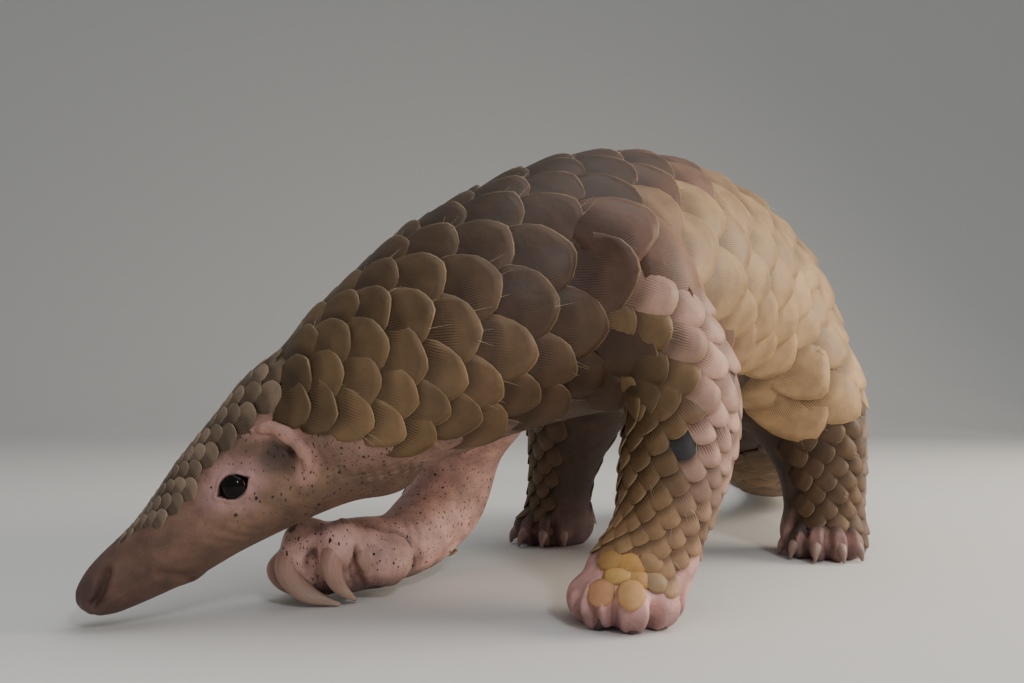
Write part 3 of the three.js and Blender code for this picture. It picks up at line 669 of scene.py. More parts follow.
def hide_colours(places):
    """The hide's colour with its painted shade, and how much soil clings to it, at places in metres."""
    _, names, along, turn = known_places(places)
    degrees = np.degrees(np.arctan2(np.sin(turn), np.cos(turn)))
    height = places[:, 2] * 1000
    # The body's bare hide starts dark brown, which is painted shade on the belly
    colours = np.tile(np.array(linear(BELLY_SHADE_BROWN)), (len(places), 1))
    soil = np.full(len(places), 0.25)
    is_head = names == "head"
    is_leg = np.isin(names, ["foreleg_left", "hindleg_left", "hindleg_right"])
    is_paw = names == "foreleg_right"
    colours[is_head] = linear(FACE_PINK)
    colours = blend(
        colours,
        (FACE_WARM, is_head * smoothstep(along, 0.35, 0.55) * smoothstep(np.abs(degrees), 85, 120) * 0.7),
        # The snout is darker, partly its own colour and partly painted shade; the head's underside is painted shade
        (SNOUT_BROWN_AND_JAW_SHADE, is_head * (1 - smoothstep(along, 0.36, 0.6)) * 0.55),
        (SNOUT_BROWN_AND_JAW_SHADE, is_head * smoothstep(np.abs(degrees), 105, 140) * 0.7),
        (NOSE_MAUVE, is_head * (1 - smoothstep(along, 0.2, 0.4)) * 0.8),
        (THROAT_PINK, (names == "body") * (1 - smoothstep(along, 0.1, 0.25))),
    )
    colours[is_paw] = linear(PAW_PINK)
    colours[is_leg] = linear(FOOT_PINK)
    is_hind = np.isin(names, ["hindleg_left", "hindleg_right"])
    grown = np.zeros(len(places))
    for name in limbs:
        mine = names == name
        grown[mine] = horn_grown(name, along[mine], turn[mine])
    colours = blend(
        colours,
        # Painted shade: the hind legs are dark brown above their feet and darkened on them, the right one most
        (HIND_LEG_SHADE, is_hind * smoothstep(height, 15, 30)),
        (HIND_LEG_SHADE, is_hind * 0.6 + (names == "hindleg_right") * 0.25),
        # Painted shade: the hide is painted near black where scales grow over it
        (SHADE_UNDER_HORN, grown * np.where(is_head, 0.75, 0.9)),
        # Painted shade: the feet and the right forepaw are darker near the floor
        (LOW_FOOT_SHADE, (is_leg | is_paw) * (1 - smoothstep(height, 5, 13)) * 0.6),
        # Painted shade under the right forepaw
        (PAW_CLEFT_SHADE, is_paw * (1 - smoothstep(height, 3, 15)) * 0.75),
    )
    # Painted shade in the clefts and folds of the right forepaw
    for points, depth, width in PAW_FOLDS:
        fold = line_distance(places, [metres(point) for point in points])
        share = (1 - smoothstep(fold, 0.3, 2.2 * width)) * min(0.3 + 0.2 * depth, 0.85)
        colours = blend(colours, (PAW_CLEFT_SHADE, share))
    soil[is_head] = (0.4 + 0.6 * smoothstep(along, 0.45, 0.68))[is_head]
    soil[names == "body"] = (1.0 - 0.6 * smoothstep(along, 0.1, 0.3))[names == "body"]
    soil[is_paw] = 0.95
    for side in (-1, 1):
        back, round_way, _, _, _ = head.axes(EYE_PLACE[0], math.radians(EYE_PLACE[1] * side))
        offset = (places - head_place(EYE_PLACE, side)) * 1000
        distance = np.linalg.norm(offset, axis=1)
        gap = np.where(distance < 30, eye_gap(offset @ back, offset @ (round_way * side))[0], 30)
        hollow = np.linalg.norm(places - head_place((0.675, 82), side), axis=1) * 1000
        nostril = line_distance(places, [head_place(place, side) for place in NOSTRIL_LINE])
        ridge = line_distance(places, [head_place(place[:2], side) for place in EAR_RIDGE])
        colours = blend(
            colours,
            (LID_PINK, 0.85 * (1 - smoothstep(gap, 2, 11))),
            # Painted shade in the opening round the eyeball
            (EYE_AND_NOSTRIL_SHADE, 0.97 * (1 - smoothstep(gap, 0.3, 1.1))),
            # Painted shade in the ear hollow
            (EAR_HOLLOW_SHADE, 0.7 * (1 - smoothstep(hollow, 2.5, 11))),
            # Painted shade in the nostril slit
            (EYE_AND_NOSTRIL_SHADE, 0.9 * (1 - smoothstep(nostril, 0.8, 2.6))),
            (EAR_PINK, 0.8 * (1 - smoothstep(ridge, 2, 6))),
        )
        soil *= smoothstep(gap, 1, 5)
    scratch = line_distance(places, [head_place(place, -1) for place in SCRATCH_LINE])
    colours = blend(colours, (SCRATCH_RED, 0.8 * (1 - smoothstep(scratch, 0.3, 1.9))))
    return colours, soil


places = vertex_places(hide.data)
colours, soil = hide_colours(places)
paint(hide.data, "hide_colour", colours)
paint(hide.data, "soil", np.repeat(soil[:, None], 4, axis=1))
lay_bake_map(hide.data)

# Living hide is matt and slightly translucent; creases and pores break up its faint sheen
hide_material, tree, shader = new_material("bare_wrinkled_hide", {
    "Roughness": 0.62, "Subsurface Weight": 0.12, "Subsurface Radius": (0.004, 0.002, 0.001), "Subsurface Scale": 0.35,
})
PORE_MM = 0.7
CREASE_MM = 1.7
SOIL_MM = 1.35
own = add_node(tree, "TexCoord")
tint = add_node(tree, "VertexColor", {"layer_name": "hide_colour"})
clinging = add_node(tree, "VertexColor", {"layer_name": "soil"})
pores = add_node(tree, "TexNoise", {"Scale": 1000 / PORE_MM, "Detail": 3.0}, {"Vector": (own, "Object")})
creases = add_node(
    tree, "TexVoronoi", {"feature": "DISTANCE_TO_EDGE", "Scale": 1000 / CREASE_MM}, {"Vector": (own, "Object")})
crease_line = add_node(tree, "MapRange", {"From Max": 0.12}, {"Value": (creases, "Distance")})
mottle = add_node(tree, "TexNoise", {"Scale": 1000 / 9.0, "Detail": 4.0, "Roughness": 0.6}, {"Vector": (own, "Object")})
mottle_share = add_node(
    tree, "MapRange", {"From Min": 0.3, "From Max": 0.7, "To Min": 0.66, "To Max": 1.26}, {"Value": (mottle, "Fac")})
mottled = add_node(
    tree, "VectorMath", {"operation": "SCALE"}, {"Vector": (tint, "Color"), "Scale": (mottle_share, "Result")})
wobble = add_node(tree, "TexNoise", {"Scale": 1000 / 1.4, "Detail": 2.0}, {"Vector": (own, "Object")})
wobble_step = add_node(
    tree, "VectorMath", {"operation": "MULTIPLY_ADD", 1: (0.0016, 0.0016, 0.0016)},
    {0: (wobble, "Color"), 2: (own, "Object")})
speck_stretch = add_node(
    tree, "VectorMath", {"operation": "MULTIPLY", 1: (1.25, 1.25, 0.62)}, {0: (wobble_step, "Vector")})
soiled, soiled_output = mottled, "Vector"
for cell_mm, rarity, largest in ((SOIL_MM, 0.35, 0.4), (SOIL_MM * 2.2, 0.72, 0.32)):
    specks = add_node(tree, "TexVoronoi", {"Scale": 1000 / cell_mm}, {"Vector": (speck_stretch, "Vector")})
    speck_luck = add_node(tree, "SeparateColor", {}, {"Color": (specks, "Color")})
    speck_size = add_node(tree, "MapRange", {"From Min": rarity, "To Max": largest}, {"Value": (speck_luck, "Red")})
    speck_reach = add_node(tree, "Math", {"operation": "MULTIPLY"}, {0: (speck_size, "Result"), 1: (clinging, "Color")})
    speck_gap = add_node(tree, "Math", {"operation": "SUBTRACT"}, {0: (speck_reach, "Value"), 1: (specks, "Distance")})
    speck_mask = add_node(tree, "MapRange", {"From Min": -0.02, "From Max": 0.05}, {"Value": (speck_gap, "Value")})
    soiled = add_node(
    tree, "Mix", {"data_type": "RGBA", 7: linear("#1E1712")}, {0: (speck_mask, "Result"), 6: (soiled, soiled_output)})
    soiled_output = 2
tree.links.new(soiled.outputs[2], shader.inputs["Base Color"])
pore_bump = add_node(tree, "Bump", {"Strength": 0.35, "Distance": 0.0003}, {"Height": (pores, "Fac")})
crease_bump = add_node(
    tree, "Bump", {"Strength": 0.3, "Distance": 0.0003},
    {"Height": (crease_line, "Result"), "Normal": (pore_bump, "Normal")})
tree.links.new(crease_bump.outputs["Normal"], shader.inputs["Normal"])
hide.data.materials.append(hide_material)
FLESH_NODES = ["head", "neck", "torso_front", "torso_rear", "tail_base", "tail_middle", "tail_end",
               "forefoot_left", "forefoot_right", "hindfoot_left", "hindfoot_right"]
FLESH_NODES += [limb + part for limb in list(limbs)[2:] for part in ("_upper", "_lower")]
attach(hide, "root")
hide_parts(*FLESH_NODES)


# Ears
# Each ear is only a thick, soft pink rim of hide that curls round behind the ear hole, dusty on its back edge.
ear_bm = bmesh.new()
for side in (-1, 1):
    out = head.axes(EAR_HOLLOW_PLACE[0], math.radians(EAR_HOLLOW_PLACE[1] * side))[2]
    stations = [(*head.point(share, math.radians(degree * side), -0.9), radius * 0.86, radius * 0.95, radius * 0.9)
                for share, degree, radius in EAR_RIDGE]
    add_tube(ear_bm, Limb(stations, out), 48, 20, lambda along, turn: (
        0.3 * np.sin(along * 31 + np.cos(turn) * 2) - 0.25))
seal(ear_bm, 24)
ears = finished_object("ears", ear_bm)
count = len(ears.data.vertices)
paint(ears.data, "hide_colour", [linear(EAR_PINK)] * count)
paint(ears.data, "soil", np.full((count, 4), 0.7))
lay_bake_map(ears.data)
ears.data.materials.append(hide_material)
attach(ears, "root")
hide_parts("ear_left", "ear_right")


# Eyes
# Small, wet, black-brown balls set deep between the lids, with no white showing.
eye_bm = bmesh.new()
for side in (-1, 1):
    turn = math.radians(EYE_PLACE[1] * side)
    out = head.axes(EYE_PLACE[0], turn)[2]
    made = bmesh.ops.create_uvsphere(eye_bm, u_segments=40, v_segments=24, radius=EYE_RADIUS / 1000)["verts"]
    bmesh.ops.translate(eye_bm, vec=metres(head.point(EYE_PLACE[0], turn) - out * EYE_SINK), verts=made)
eyes = finished_object("eyes", eye_bm)
# The wet eyeball mirrors the light, with a faintly mottled, black-brown iris under it
eye_material, tree, shader = new_material("wet_eyeball", {
    "Base Color": linear("#080505"), "Roughness": 0.06, "IOR": 1.336, "Specular IOR Level": 0.3,
})
iris = add_node(tree, "TexNoise", {"Scale": 1000 / 1.5}, {"Vector": (add_node(tree, "TexCoord"), "Object")})
iris_colour = add_node(
    tree, "Mix", {"data_type": "RGBA", 6: linear("#070505"), 7: linear("#1C1210")}, {0: (iris, "Fac")})
tree.links.new(iris_colour.outputs[2], shader.inputs["Base Color"])
eyes.data.materials.append(eye_material)
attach(eyes, "root")
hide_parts("eye_left", "eye_right")


# Claws
# Curved horn sheaths over the toe bones, grooved lengthwise and worn pale at the tips. The three middle claws of
# the right forepaw are long and thick, and that paw rests on their curled tips.
# Claw horn is dense and half glossy; its grooves run from root to tip
claw_material, tree, shader = new_material("worn_claw_horn", {"Roughness": 0.42})
own = add_node(tree, "TexCoord")
tint = add_node(tree, "VertexColor", {"layer_name": "claw_colour"})
length_map = add_node(tree, "UVMap", {"uv_map": "ClawMM"})
stretch = add_node(tree, "VectorMath", {"operation": "MULTIPLY", 1: (1.6, 0.12, 1.0)}, {0: (length_map, "UV")})
grooves = add_node(tree, "TexNoise", {"Scale": 1.0, "Detail": 3.0}, {"Vector": (stretch, "Vector")})
groove_share = add_node(
    tree, "MapRange", {"From Min": 0.3, "From Max": 0.7, "To Min": 0.78, "To Max": 1.14}, {"Value": (grooves, "Fac")})
grooved = add_node(
    tree, "VectorMath", {"operation": "SCALE"}, {"Vector": (tint, "Color"), "Scale": (groove_share, "Result")})
tree.links.new(grooved.outputs["Vector"], shader.inputs["Base Color"])
groove_bump = add_node(tree, "Bump", {"Strength": 0.4, "Distance": 0.0003}, {"Height": (grooves, "Fac")})
tree.links.new(groove_bump.outputs["Normal"], shader.inputs["Normal"])


CLAW_RINGS, CLAW_SIDES = 24, 18
CLAW_LOWEST = 0.0002  # in metres above the floor


def make_claws(name, paths, root_colour, tip_colour, nodes):
    """paths are (points, radius at the root, crosswise way) for each claw."""
    bm = bmesh.new()
    uv = bm.loops.layers.uv.new("ClawMM")
    tint = bm.verts.layers.float_color.new("claw_colour")
    for points, radius, crosswise in paths:
        radii = [0.6 if i == len(points) - 1 else radius * (1 - 0.25 * i) for i in range(len(points))]
        limb = Limb([(*point, r * 0.96, r * 1.02, r * 0.9) for point, r in zip(points, radii)], crosswise)
        made = add_tube(bm, limb, CLAW_RINGS, CLAW_SIDES, lambda along, turn: -0.15 * np.cos(turn * 2))
        length = np.linalg.norm(np.diff(np.array(points, float), axis=0), axis=1).sum()
        for k, vertex in enumerate(made):
            row, column = divmod(k, CLAW_SIDES + 1)
            vertex[tint] = Vector(linear(root_colour)).lerp(Vector(linear(tip_colour)), row / CLAW_RINGS)
            for loop in vertex.link_loops:
                loop[uv].uv = (column / CLAW_SIDES * 2 * math.pi * radius, row / CLAW_RINGS * length)
    seal(bm, 24)
    for vertex in bm.verts:
        vertex.co.z = max(vertex.co.z, CLAW_LOWEST)
    claws = finished_object(name, bm)
    claws.data.materials.append(claw_material)
    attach(claws, "root")
    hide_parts(*nodes)


# Each foot's claws: the colours at root and tip
CLAW_COLOURS = {
    "front_left": ("#6A5052", "#7D6763"), "hind_left": ("#A27E70", "#8C7468"), "hind_right": ("#A27E70", "#8C7468"),
}
for name, foot in FEET.items():
    paths = []
    for _, outward, place in toe_places(foot):
        paths.append(([place(*spot) for spot in foot["claw"]], foot["radius"], (-outward[1], outward[0], 0)))
    make_claws("claws_" + name, paths, *CLAW_COLOURS[name], ["claw_%s_%d" % (name, i) for i in range(1, 6)])
make_claws("claws_front_right", [(points, radius, (0, 1, 0)) for points, radius in PAW_CLAWS], "#AD7C6E", "#B39A86",
           ["claw_front_right_%d" % i for i in range(1, 6)])


# Scales
# Overlapping plates of horn, each rooted in the hide and free at its hind edge. They are matt and hard, with fine
# growth lines from root to tip and a thin, pale rim that is partly worn and partly a painted highlight: big and dark
# on the back, sandy behind, small on the head and legs, the dark and the sandy each partly painted shade and light.
# Each plate is painted darker towards its covered root as shade, and the top of the back, the tail and the low
# flanks are painted darker too. They are laid in staggered rows that grow with the limb.
random = np.random.default_rng(7)
hide_bm = bmesh.new()
hide_bm.from_mesh(hide.data)
hide_surface = BVHTree.FromBMesh(hide_bm)
hide_tree = KDTree(len(hide_bm.verts))
hide_normals = np.array([vertex.normal for vertex in hide_bm.verts])
for vertex in hide_bm.verts:
    hide_tree.insert(vertex.co, vertex.index)
hide_tree.balance()
hide_bm.free()


def on_hide(places, breadth=0.003):
    """The nearest places on the hide, the ways out of it there, and how far off the hide each given place was."""
    spots, ways, gaps = [], [], []
    for place in places:
        spot, _, _, gap = hide_surface.find_nearest(Vector(place))
        near = [index for _, index, _ in hide_tree.find_range(spot, breadth)] or [hide_tree.find(spot)[1]]
        way = hide_normals[near].sum(axis=0)
        spots.append(spot)
        ways.append(way / np.linalg.norm(way))
        gaps.append(gap)
    return np.array(spots), np.array(ways), np.array(gaps)


def hide_heights(places, way, above=0.012):
    """How high the hide lies over each place, looking down along one way out; far below where there is none."""
    heights = []
    for place in places:
        spot, _, _, distance = hide_surface.ray_cast(Vector(place + way * above), Vector(-way), 2.5 * above)
        heights.append(-above if spot is None else above - distance)
    return np.array(heights)


def outermost(inside, way, farthest=0.05):
    """Where a line from inside the animal leaves the hide for the last time, so that scales drape over the legs."""
    start, way, last = Vector(inside), Vector(way), None
    while farthest > 0:
        spot, normal, _, distance = hide_surface.ray_cast(start, way, farthest)
        if spot is None:
            break
        if normal.dot(way) > 0:
            last = spot
        start = spot + way * 1e-5
        farthest -= distance + 1e-5
    return last


SCALE_MAPS = ("ScaleMM", "ScaleShape", "OFBake")

# How far down each leg the scales of the body hang, by the turn round the leg in degrees
DRAPES = {
    "foreleg_left": ((-90, -40, 0, 60, 90, 150), (0.3, 0.31, 0.26, 0.25, 0.29, 0.3)),
    "foreleg_right": ((-150, -90, 0), (0.25, 0.25, 0.25)),
    "hindleg_left": ((-90, -60, 0, 90, 150), (0.28, 0.31, 0.36, 0.37, 0.4)),
    "hindleg_right": ((-150, -90, 0), (0.4, 0.37, 0.36)),
}


def drape(name, turn):
    return np.interp(np.degrees(turn), *DRAPES[name])


def covered_by_body(spot):
    """True where the body's own scales may grow: on the body, the neck and the upper legs."""
    _, names, alongs, turns = known_places(np.array([spot]))
    if names[0] == "head":
        return alongs[0] > 0.86
    return names[0] == "body" or alongs[0] < drape(names[0], turns[0])


def world_way(share):
    """The way the body's scales point, seen from the side: back, and more and more down towards the tail."""
    slope = math.radians(np.interp(share, (0.03, 0.1, 0.2, 0.3, 0.4, 0.48, 0.55, 0.62), (2, 6, -4, 0, 20, 38, 54, 72)))
    return np.array([math.cos(slope), 0, -math.sin(slope)])


ROOT_GAP = 0.0035  # a leg or head scale grows only where the hide is this near, in metres
MOST_SPREAD = 1.15  # how much further apart the scales over a shoulder or thigh may be
BEND = (-0.34, 0.1)  # how far a scale bends down and up, in shares of its half width
TAIL_AIM = (0.56, 0.66)  # where the scales turn to point along the tail
SCALE_LOWEST = 0.0012  # in metres above the floor


def lay_scales(bm, name, columns, start, end, shape, colour_of):
    """Lays staggered rows of scales on a limb, and returns each one's free tip, its ways and its place."""
    limb = limbs[name]
    uv, face_uv, bake_uv = (bm.loops.layers.uv[layer] for layer in SCALE_MAPS)
    tint = bm.verts.layers.float_color["horn_colour"]
    depth = HORN_DEPTH[name]
    tips = []
    share, row = start, 0
    while share < end:
        here = limb.at(share)[0]
        pitch = math.pi * (here[3] + (here[4] + here[5]) / 2) * 2 / columns
        back_rate = (limb.axes(share, 0)[3] + limb.axes(share, math.pi / 2)[3]) / 2
        row_step = max(shape["row"] * pitch, shape["least_row"])
        for column in range(row % 2, columns, 2):
            turn = column / columns * 2 * math.pi
            turn = math.atan2(math.sin(turn), math.cos(turn))
            if horn_grown(name, share, turn) < 0.5:
                continue
            back, round_way, out, per_along, per_turn = limb.axes(share, turn)
            spread = 1.0
            if name == "body":
                root = outermost(metres(limb.point(share, turn, -depth - 8)), out)
                if root is None or not covered_by_body(root):
                    continue
                axis = metres(here[:3])
                usual = np.linalg.norm(metres(limb.point(share, turn, -depth)) - axis)
                spread = float(np.clip(np.linalg.norm(np.array(root) - axis) / usual, 1, MOST_SPREAD))
            else:
                root = metres(limb.point(share, turn, -depth))
                if name in DRAPES and share < drape(name, turn) - 0.01:
                    continue
                if on_hide([root])[2][0] > ROOT_GAP:
                    continue
            (root,), (way,), _ = on_hide([root], shape["breadth"] * pitch / 1000)
            aim = back
            if name == "body" and share < TAIL_AIM[1]:
                aim = world_way(share) + back * smoothstep(share, *TAIL_AIM) * 3
            aim = aim - way * (aim @ way)
            aim /= np.linalg.norm(aim)
            lean = shape["lean"] + random.normal(0, math.radians(3))
            aside = np.cross(way, aim)
            aim, aside = aim * math.cos(lean) + aside * math.sin(lean), aside * math.cos(lean) - aim * math.sin(lean)
            half = per_turn * 2 * math.pi / columns * shape["width"] * random.uniform(0.96, 1.04)
            half = min(half, pitch * 0.62) * spread
            long = row_step * random.uniform(0.95, 1.06) * spread
            rise = shape["rise"] * pitch * random.uniform(0.85, 1.2)
            bow = shape["bow"] * pitch
            roundness = random.uniform(*shape["roundness"])
            tone = random.uniform(0, 1)
            made = bmesh.ops.create_grid(bm, x_segments=shape["grid"][0], y_segments=shape["grid"][1], size=1)["verts"]
            u = np.array([vertex.co.x for vertex in made])
            v = np.array([(vertex.co.y + 1) / 2 for vertex in made])
            widening = shape["root_width"] + (1 - shape["root_width"]) * np.sin(np.minimum(v / 0.55, 1) * math.pi / 2)
            narrowing = 1 - 0.1 * smoothstep(v, 0.7, 1.0) * u**2
            across = u * widening * narrowing * half
            skew = random.normal(0, 0.09)
            reach = shape["tip"] - shape["shoulder"] * np.abs(u - skew * (1 - u * u)) ** roundness
            reach = reach - 0.25 * np.maximum(np.abs(u) - 0.72, 0) / 0.28
            downward = shape["root"] + (reach - shape["root"]) * v
            lengthwise = downward * long
            flat = root + (aim * lengthwise[:, None] + aside * across[:, None]) / 1000
            heights = hide_heights(flat, way)
            # A scale is stiff: it bends with the hide only as one smooth, shallow dish
            sunk = np.clip(heights, BEND[0] * half / 1000, BEND[1] * half / 1000)
            a, b = across / half, lengthwise / half
            terms = np.stack([np.ones(len(a)), a, b, a * a, a * b, b * b], axis=1)
            weight = np.where(np.abs(heights) < 0.6 * half / 1000, 1.0, 0.05)
            fit = np.linalg.lstsq(terms * weight[:, None], sunk * weight, rcond=None)[0]
            spots = flat + way * (terms @ fit)[:, None]
            tilt = shape["tilt"] * (1 - 1.4 * float(smoothstep(share, 0.34, 0.42))) if name == "body" else 0.0
            tilt *= min(abs(turn) / 0.5, 1) * math.copysign(1, turn) * pitch
            height_share = (downward - shape["root"]) / (shape["tip"] - shape["root"])
            lift = 0.25 + rise * height_share**1.2 - bow * u**2 * (0.3 + 0.7 * v) + tilt * u * v
            for vertex, spot in zip(made, spots + way * lift[:, None] / 1000):
                vertex.co = spot
                vertex.co.z = max(vertex.co.z, SCALE_LOWEST)
            base = np.array(colour_of(share, turn, tone))
            bake_u, bake_v = chart_place(name, share, turn)
            chart = CHARTS[name]
            patch = (0.4 * row_step / per_along * chart[2], 0.4 * 2 / columns * chart[3])
            for k, vertex in enumerate(made):
                vertex[tint] = (*base[:3], tone)
                for loop in vertex.link_loops:
                    loop[uv].uv = (across[k] + tone * 400, lengthwise[k])
                    loop[face_uv].uv = ((u[k] + 1) / 2, v[k])
                    loop[bake_uv].uv = (bake_u + (v[k] - 0.5) * patch[0], bake_v + u[k] / 2 * patch[1])
            tip = np.argmax(v - np.abs(u) * 0.1)
            tips.append((spots[tip] + way * lift[tip] / 1000, way, aim, aside, half, name, share, turn))
        share += row_step / back_rate
        row += 1
    return tips


def new_scale_mesh():
    bm = bmesh.new()
    for layer in SCALE_MAPS:
        bm.loops.layers.uv.new(layer)
    bm.verts.layers.float_color.new("horn_colour")
    return bm


def towards(colour, other, share):
    return colour + (np.array(linear(other)) - colour) * float(share)


def mixed(first, second, share):
    return towards(np.array(linear(first)), second, np.clip(share, 0, 1))


# The colour of each scale, from where it grows and its own tone between 0 and 1
def body_horn(share, turn, tone):
    degrees = abs(math.degrees(turn))
    edge = 0.27 + 0.09 * (1 - smoothstep(degrees, 40, 56)) + 0.07 * smoothstep(degrees, 85, 130)
    # The dark front and sandy rear are partly the horn's own colours and partly painted shade and light
    front = mixed("#6E573C", "#4C392C", smoothstep(share, 0.08, 0.22))
    front = towards(front, "#8A6655", smoothstep(share, edge - 0.075, edge - 0.01) * 0.75)
    # Painted shade: the horn turns darker along the tail
    rear = mixed("#A98963", "#6E5844", smoothstep(share, 0.58, 0.68))
    # Painted shade: the rear body's lowest scales, towards the belly, are darker
    under = smoothstep(degrees, 138, 152) * smoothstep(share, 0.3, 0.4) * (1 - smoothstep(share, 0.6, 0.66))
    rear = towards(rear, "#5F4A35", under)
    colour = front + (rear - front) * float(smoothstep(share, edge - 0.03, edge + 0.03))
    # Painted light and shade: the top of the back is darker and the flanks lighter
    colour = colour * (0.78 + 0.34 * float(smoothstep(degrees, 40, 105)))
    return colour * (0.84 + 0.32 * tone)


def head_horn(share, turn, tone):
    return mixed("#77675A", "#7A6650", share) * (0.72 + 0.56 * tone)


def foreleg_left_horn(share, turn, tone):
    outer = smoothstep(math.degrees(turn), 24, 50) * (1 - 0.6 * smoothstep(share, 0.52, 0.66))
    colour = mixed("#6B543A", "#B28D7C", outer)
    for stained in ((0.54, 22), (0.61, 45)):  # two scales are stained blue-grey
        if abs(share - stained[0]) < 0.018 and abs(math.degrees(turn) - stained[1]) < 8:
            return np.array(linear("#3D3A3A"))
    return towards(colour, "#A98460", smoothstep(share, 0.6, 0.76) * 0.65) * (0.78 + 0.44 * tone)


def hindleg_horn(share, turn, tone):
    rear = smoothstep(abs(math.degrees(turn)), 75, 120)
    return mixed("#66503C", "#9C8373", rear) * (0.82 + 0.36 * tone)


# A scale's net, its row step, width, rise, bow and tilt as shares of the pitch between scales, its root and tip in
# row steps, and the angle it leans by
BACK_SHAPE = {
    "grid": (8, 7), "row": 0.378, "least_row": 3.0, "width": 1.04, "root": -1.4, "tip": 1.3, "shoulder": 0.8,
    "root_width": 0.62, "roundness": (1.25, 1.6), "rise": 0.105, "bow": 0.03, "lean": 0.0, "tilt": -0.026,
    "breadth": 0.8,
}
TAIL_SHAPE = dict(BACK_SHAPE, row=0.4, least_row=5.0, rise=0.085)
LEG_SHAPE = dict(BACK_SHAPE, row=0.56, width=0.98, rise=0.115, bow=0.11, lean=math.radians(42), shoulder=0.42,
                 roundness=(2.0, 2.8), grid=(7, 6), root=-0.95, tip=0.98, breadth=0.3)
CROWN_SHAPE = dict(BACK_SHAPE, row=0.5, least_row=2.4, width=0.98, rise=0.06, bow=0.05, shoulder=0.55,
                   roundness=(1.8, 2.4), grid=(6, 5), root=-0.95, tip=1.02, breadth=0.3)

horn_material, tree, shader = new_material("weathered_scale_horn", {"Roughness": 0.5, "Specular IOR Level": 0.25})
LINE_MM = 1.05
own = add_node(tree, "TexCoord")
tint = add_node(tree, "VertexColor", {"layer_name": "horn_colour"})
scale_map = add_node(tree, "UVMap", {"uv_map": "ScaleMM"})
shape_map = add_node(tree, "UVMap", {"uv_map": "ScaleShape"})
shape_parts = add_node(tree, "SeparateXYZ", {}, {"Vector": (shape_map, "UV")})
lines = add_node(tree, "TexWave", {
    "wave_type": "BANDS", "bands_direction": "X", "Scale": 0.314 / LINE_MM, "Distortion": 3.4, "Detail": 2.0,
    "Detail Scale": 0.3,
}, {"Vector": (scale_map, "UV")})
line_mask = add_node(tree, "MapRange", {"From Min": 0.55, "From Max": 0.9}, {"Value": (lines, "Fac")})
near_root = add_node(tree, "MapRange", {"From Min": 0.76, "From Max": 0.58}, {"Value": (shape_parts, "Y")})
from_middle = add_node(tree, "Math", {"operation": "SUBTRACT", 1: 0.5}, {0: (shape_parts, "X")})
side_share = add_node(tree, "Math", {"operation": "ABSOLUTE"}, {0: (from_middle, "Value")})
blotch = add_node(
    tree, "TexNoise", {"Scale": 1000 / 14.0, "Detail": 5.0, "Roughness": 0.62}, {"Vector": (own, "Object")})
patches = add_node(tree, "TexNoise", {"Scale": 1000 / 18.0, "Detail": 1.0}, {"Vector": (own, "Object")})
patch_share = add_node(
    tree, "MapRange", {"From Min": 0.4, "From Max": 0.66, "To Min": 0.0, "To Max": 0.75}, {"Value": (patches, "Fac")})
line_weight = add_node(tree, "Math", {"operation": "MULTIPLY"}, {0: (line_mask, "Result"), 1: (near_root, "Result")})
line_weight = add_node(tree, "Math", {"operation": "MULTIPLY"}, {0: (line_weight, "Value"), 1: (patch_share, "Result")})
blotch_share = add_node(
    tree, "MapRange", {"From Min": 0.3, "From Max": 0.7, "To Min": 0.74, "To Max": 1.24}, {"Value": (blotch, "Fac")})
blotched = add_node(
    tree, "VectorMath", {"operation": "SCALE"}, {"Vector": (tint, "Color"), "Scale": (blotch_share, "Result")})
# Painted shade: each scale darkens towards its root, where the row before lies over it
overlap_shade = add_node(tree, "MapRange", {"From Min": 0.62, "From Max": 0.42, "To Max": 0.45}, {"Value": (shape_parts, "Y")})
overlap_shaded = add_node(
    tree, "Mix", {"data_type": "RGBA", 7: linear("#2A1B14")}, {0: (overlap_shade, "Result"), 6: (blotched, "Vector")})
line_shade = add_node(
    tree, "Mix", {"data_type": "RGBA", "blend_type": "MULTIPLY", 0: 1.0, 7: linear("#774A38")}, {6: (overlap_shaded, 2)})
lined = add_node(tree, "Mix", {"data_type": "RGBA"}, {0: (line_weight, "Value"), 6: (overlap_shaded, 2), 7: (line_shade, 2)})
uneven_tone = add_node(tree, "TexNoise", {"Scale": 1000 / 9.0, "Detail": 2.0}, {"Vector": (own, "Object")})
# The pale rim at each scale's tip and sides is partly a worn edge and partly a painted highlight
tip_rim = add_node(tree, "MapRange", {"From Min": 0.972, "From Max": 0.995}, {"Value": (shape_parts, "Y")})
side_rim = add_node(tree, "MapRange", {"From Min": 0.485, "From Max": 0.497}, {"Value": (side_share, "Value")})
rim = add_node(tree, "Math", {"operation": "MAXIMUM"}, {0: (tip_rim, "Result"), 1: (side_rim, "Result")})
rim_wear_and_highlight = add_node(
    tree, "MapRange", {"From Min": 0.35, "From Max": 0.65, "To Min": 0.12, "To Max": 0.42},
    {"Value": (uneven_tone, "Fac")})
rim_weight = add_node(tree, "Math", {"operation": "MULTIPLY"}, {0: (rim, "Value"), 1: (rim_wear_and_highlight, "Result")})
rimmed = add_node(tree, "Mix", {"data_type": "RGBA", 7: linear("#BFA67E")}, {0: (rim_weight, "Value"), 6: (lined, 2)})
tree.links.new(rimmed.outputs[2], shader.inputs["Base Color"])
sheen_share = add_node(
    tree, "MapRange", {"From Min": 0.3, "From Max": 0.7, "To Min": 0.42, "To Max": 0.6}, {"Value": (blotch, "Fac")})
tree.links.new(sheen_share.outputs["Result"], shader.inputs["Roughness"])
line_bump = add_node(tree, "Bump", {"Strength": 0.35, "Distance": -0.0003}, {"Height": (line_weight, "Value")})
uneven = add_node(tree, "TexNoise", {"Scale": 1000 / 7.0, "Detail": 2.0}, {"Vector": (own, "Object")})
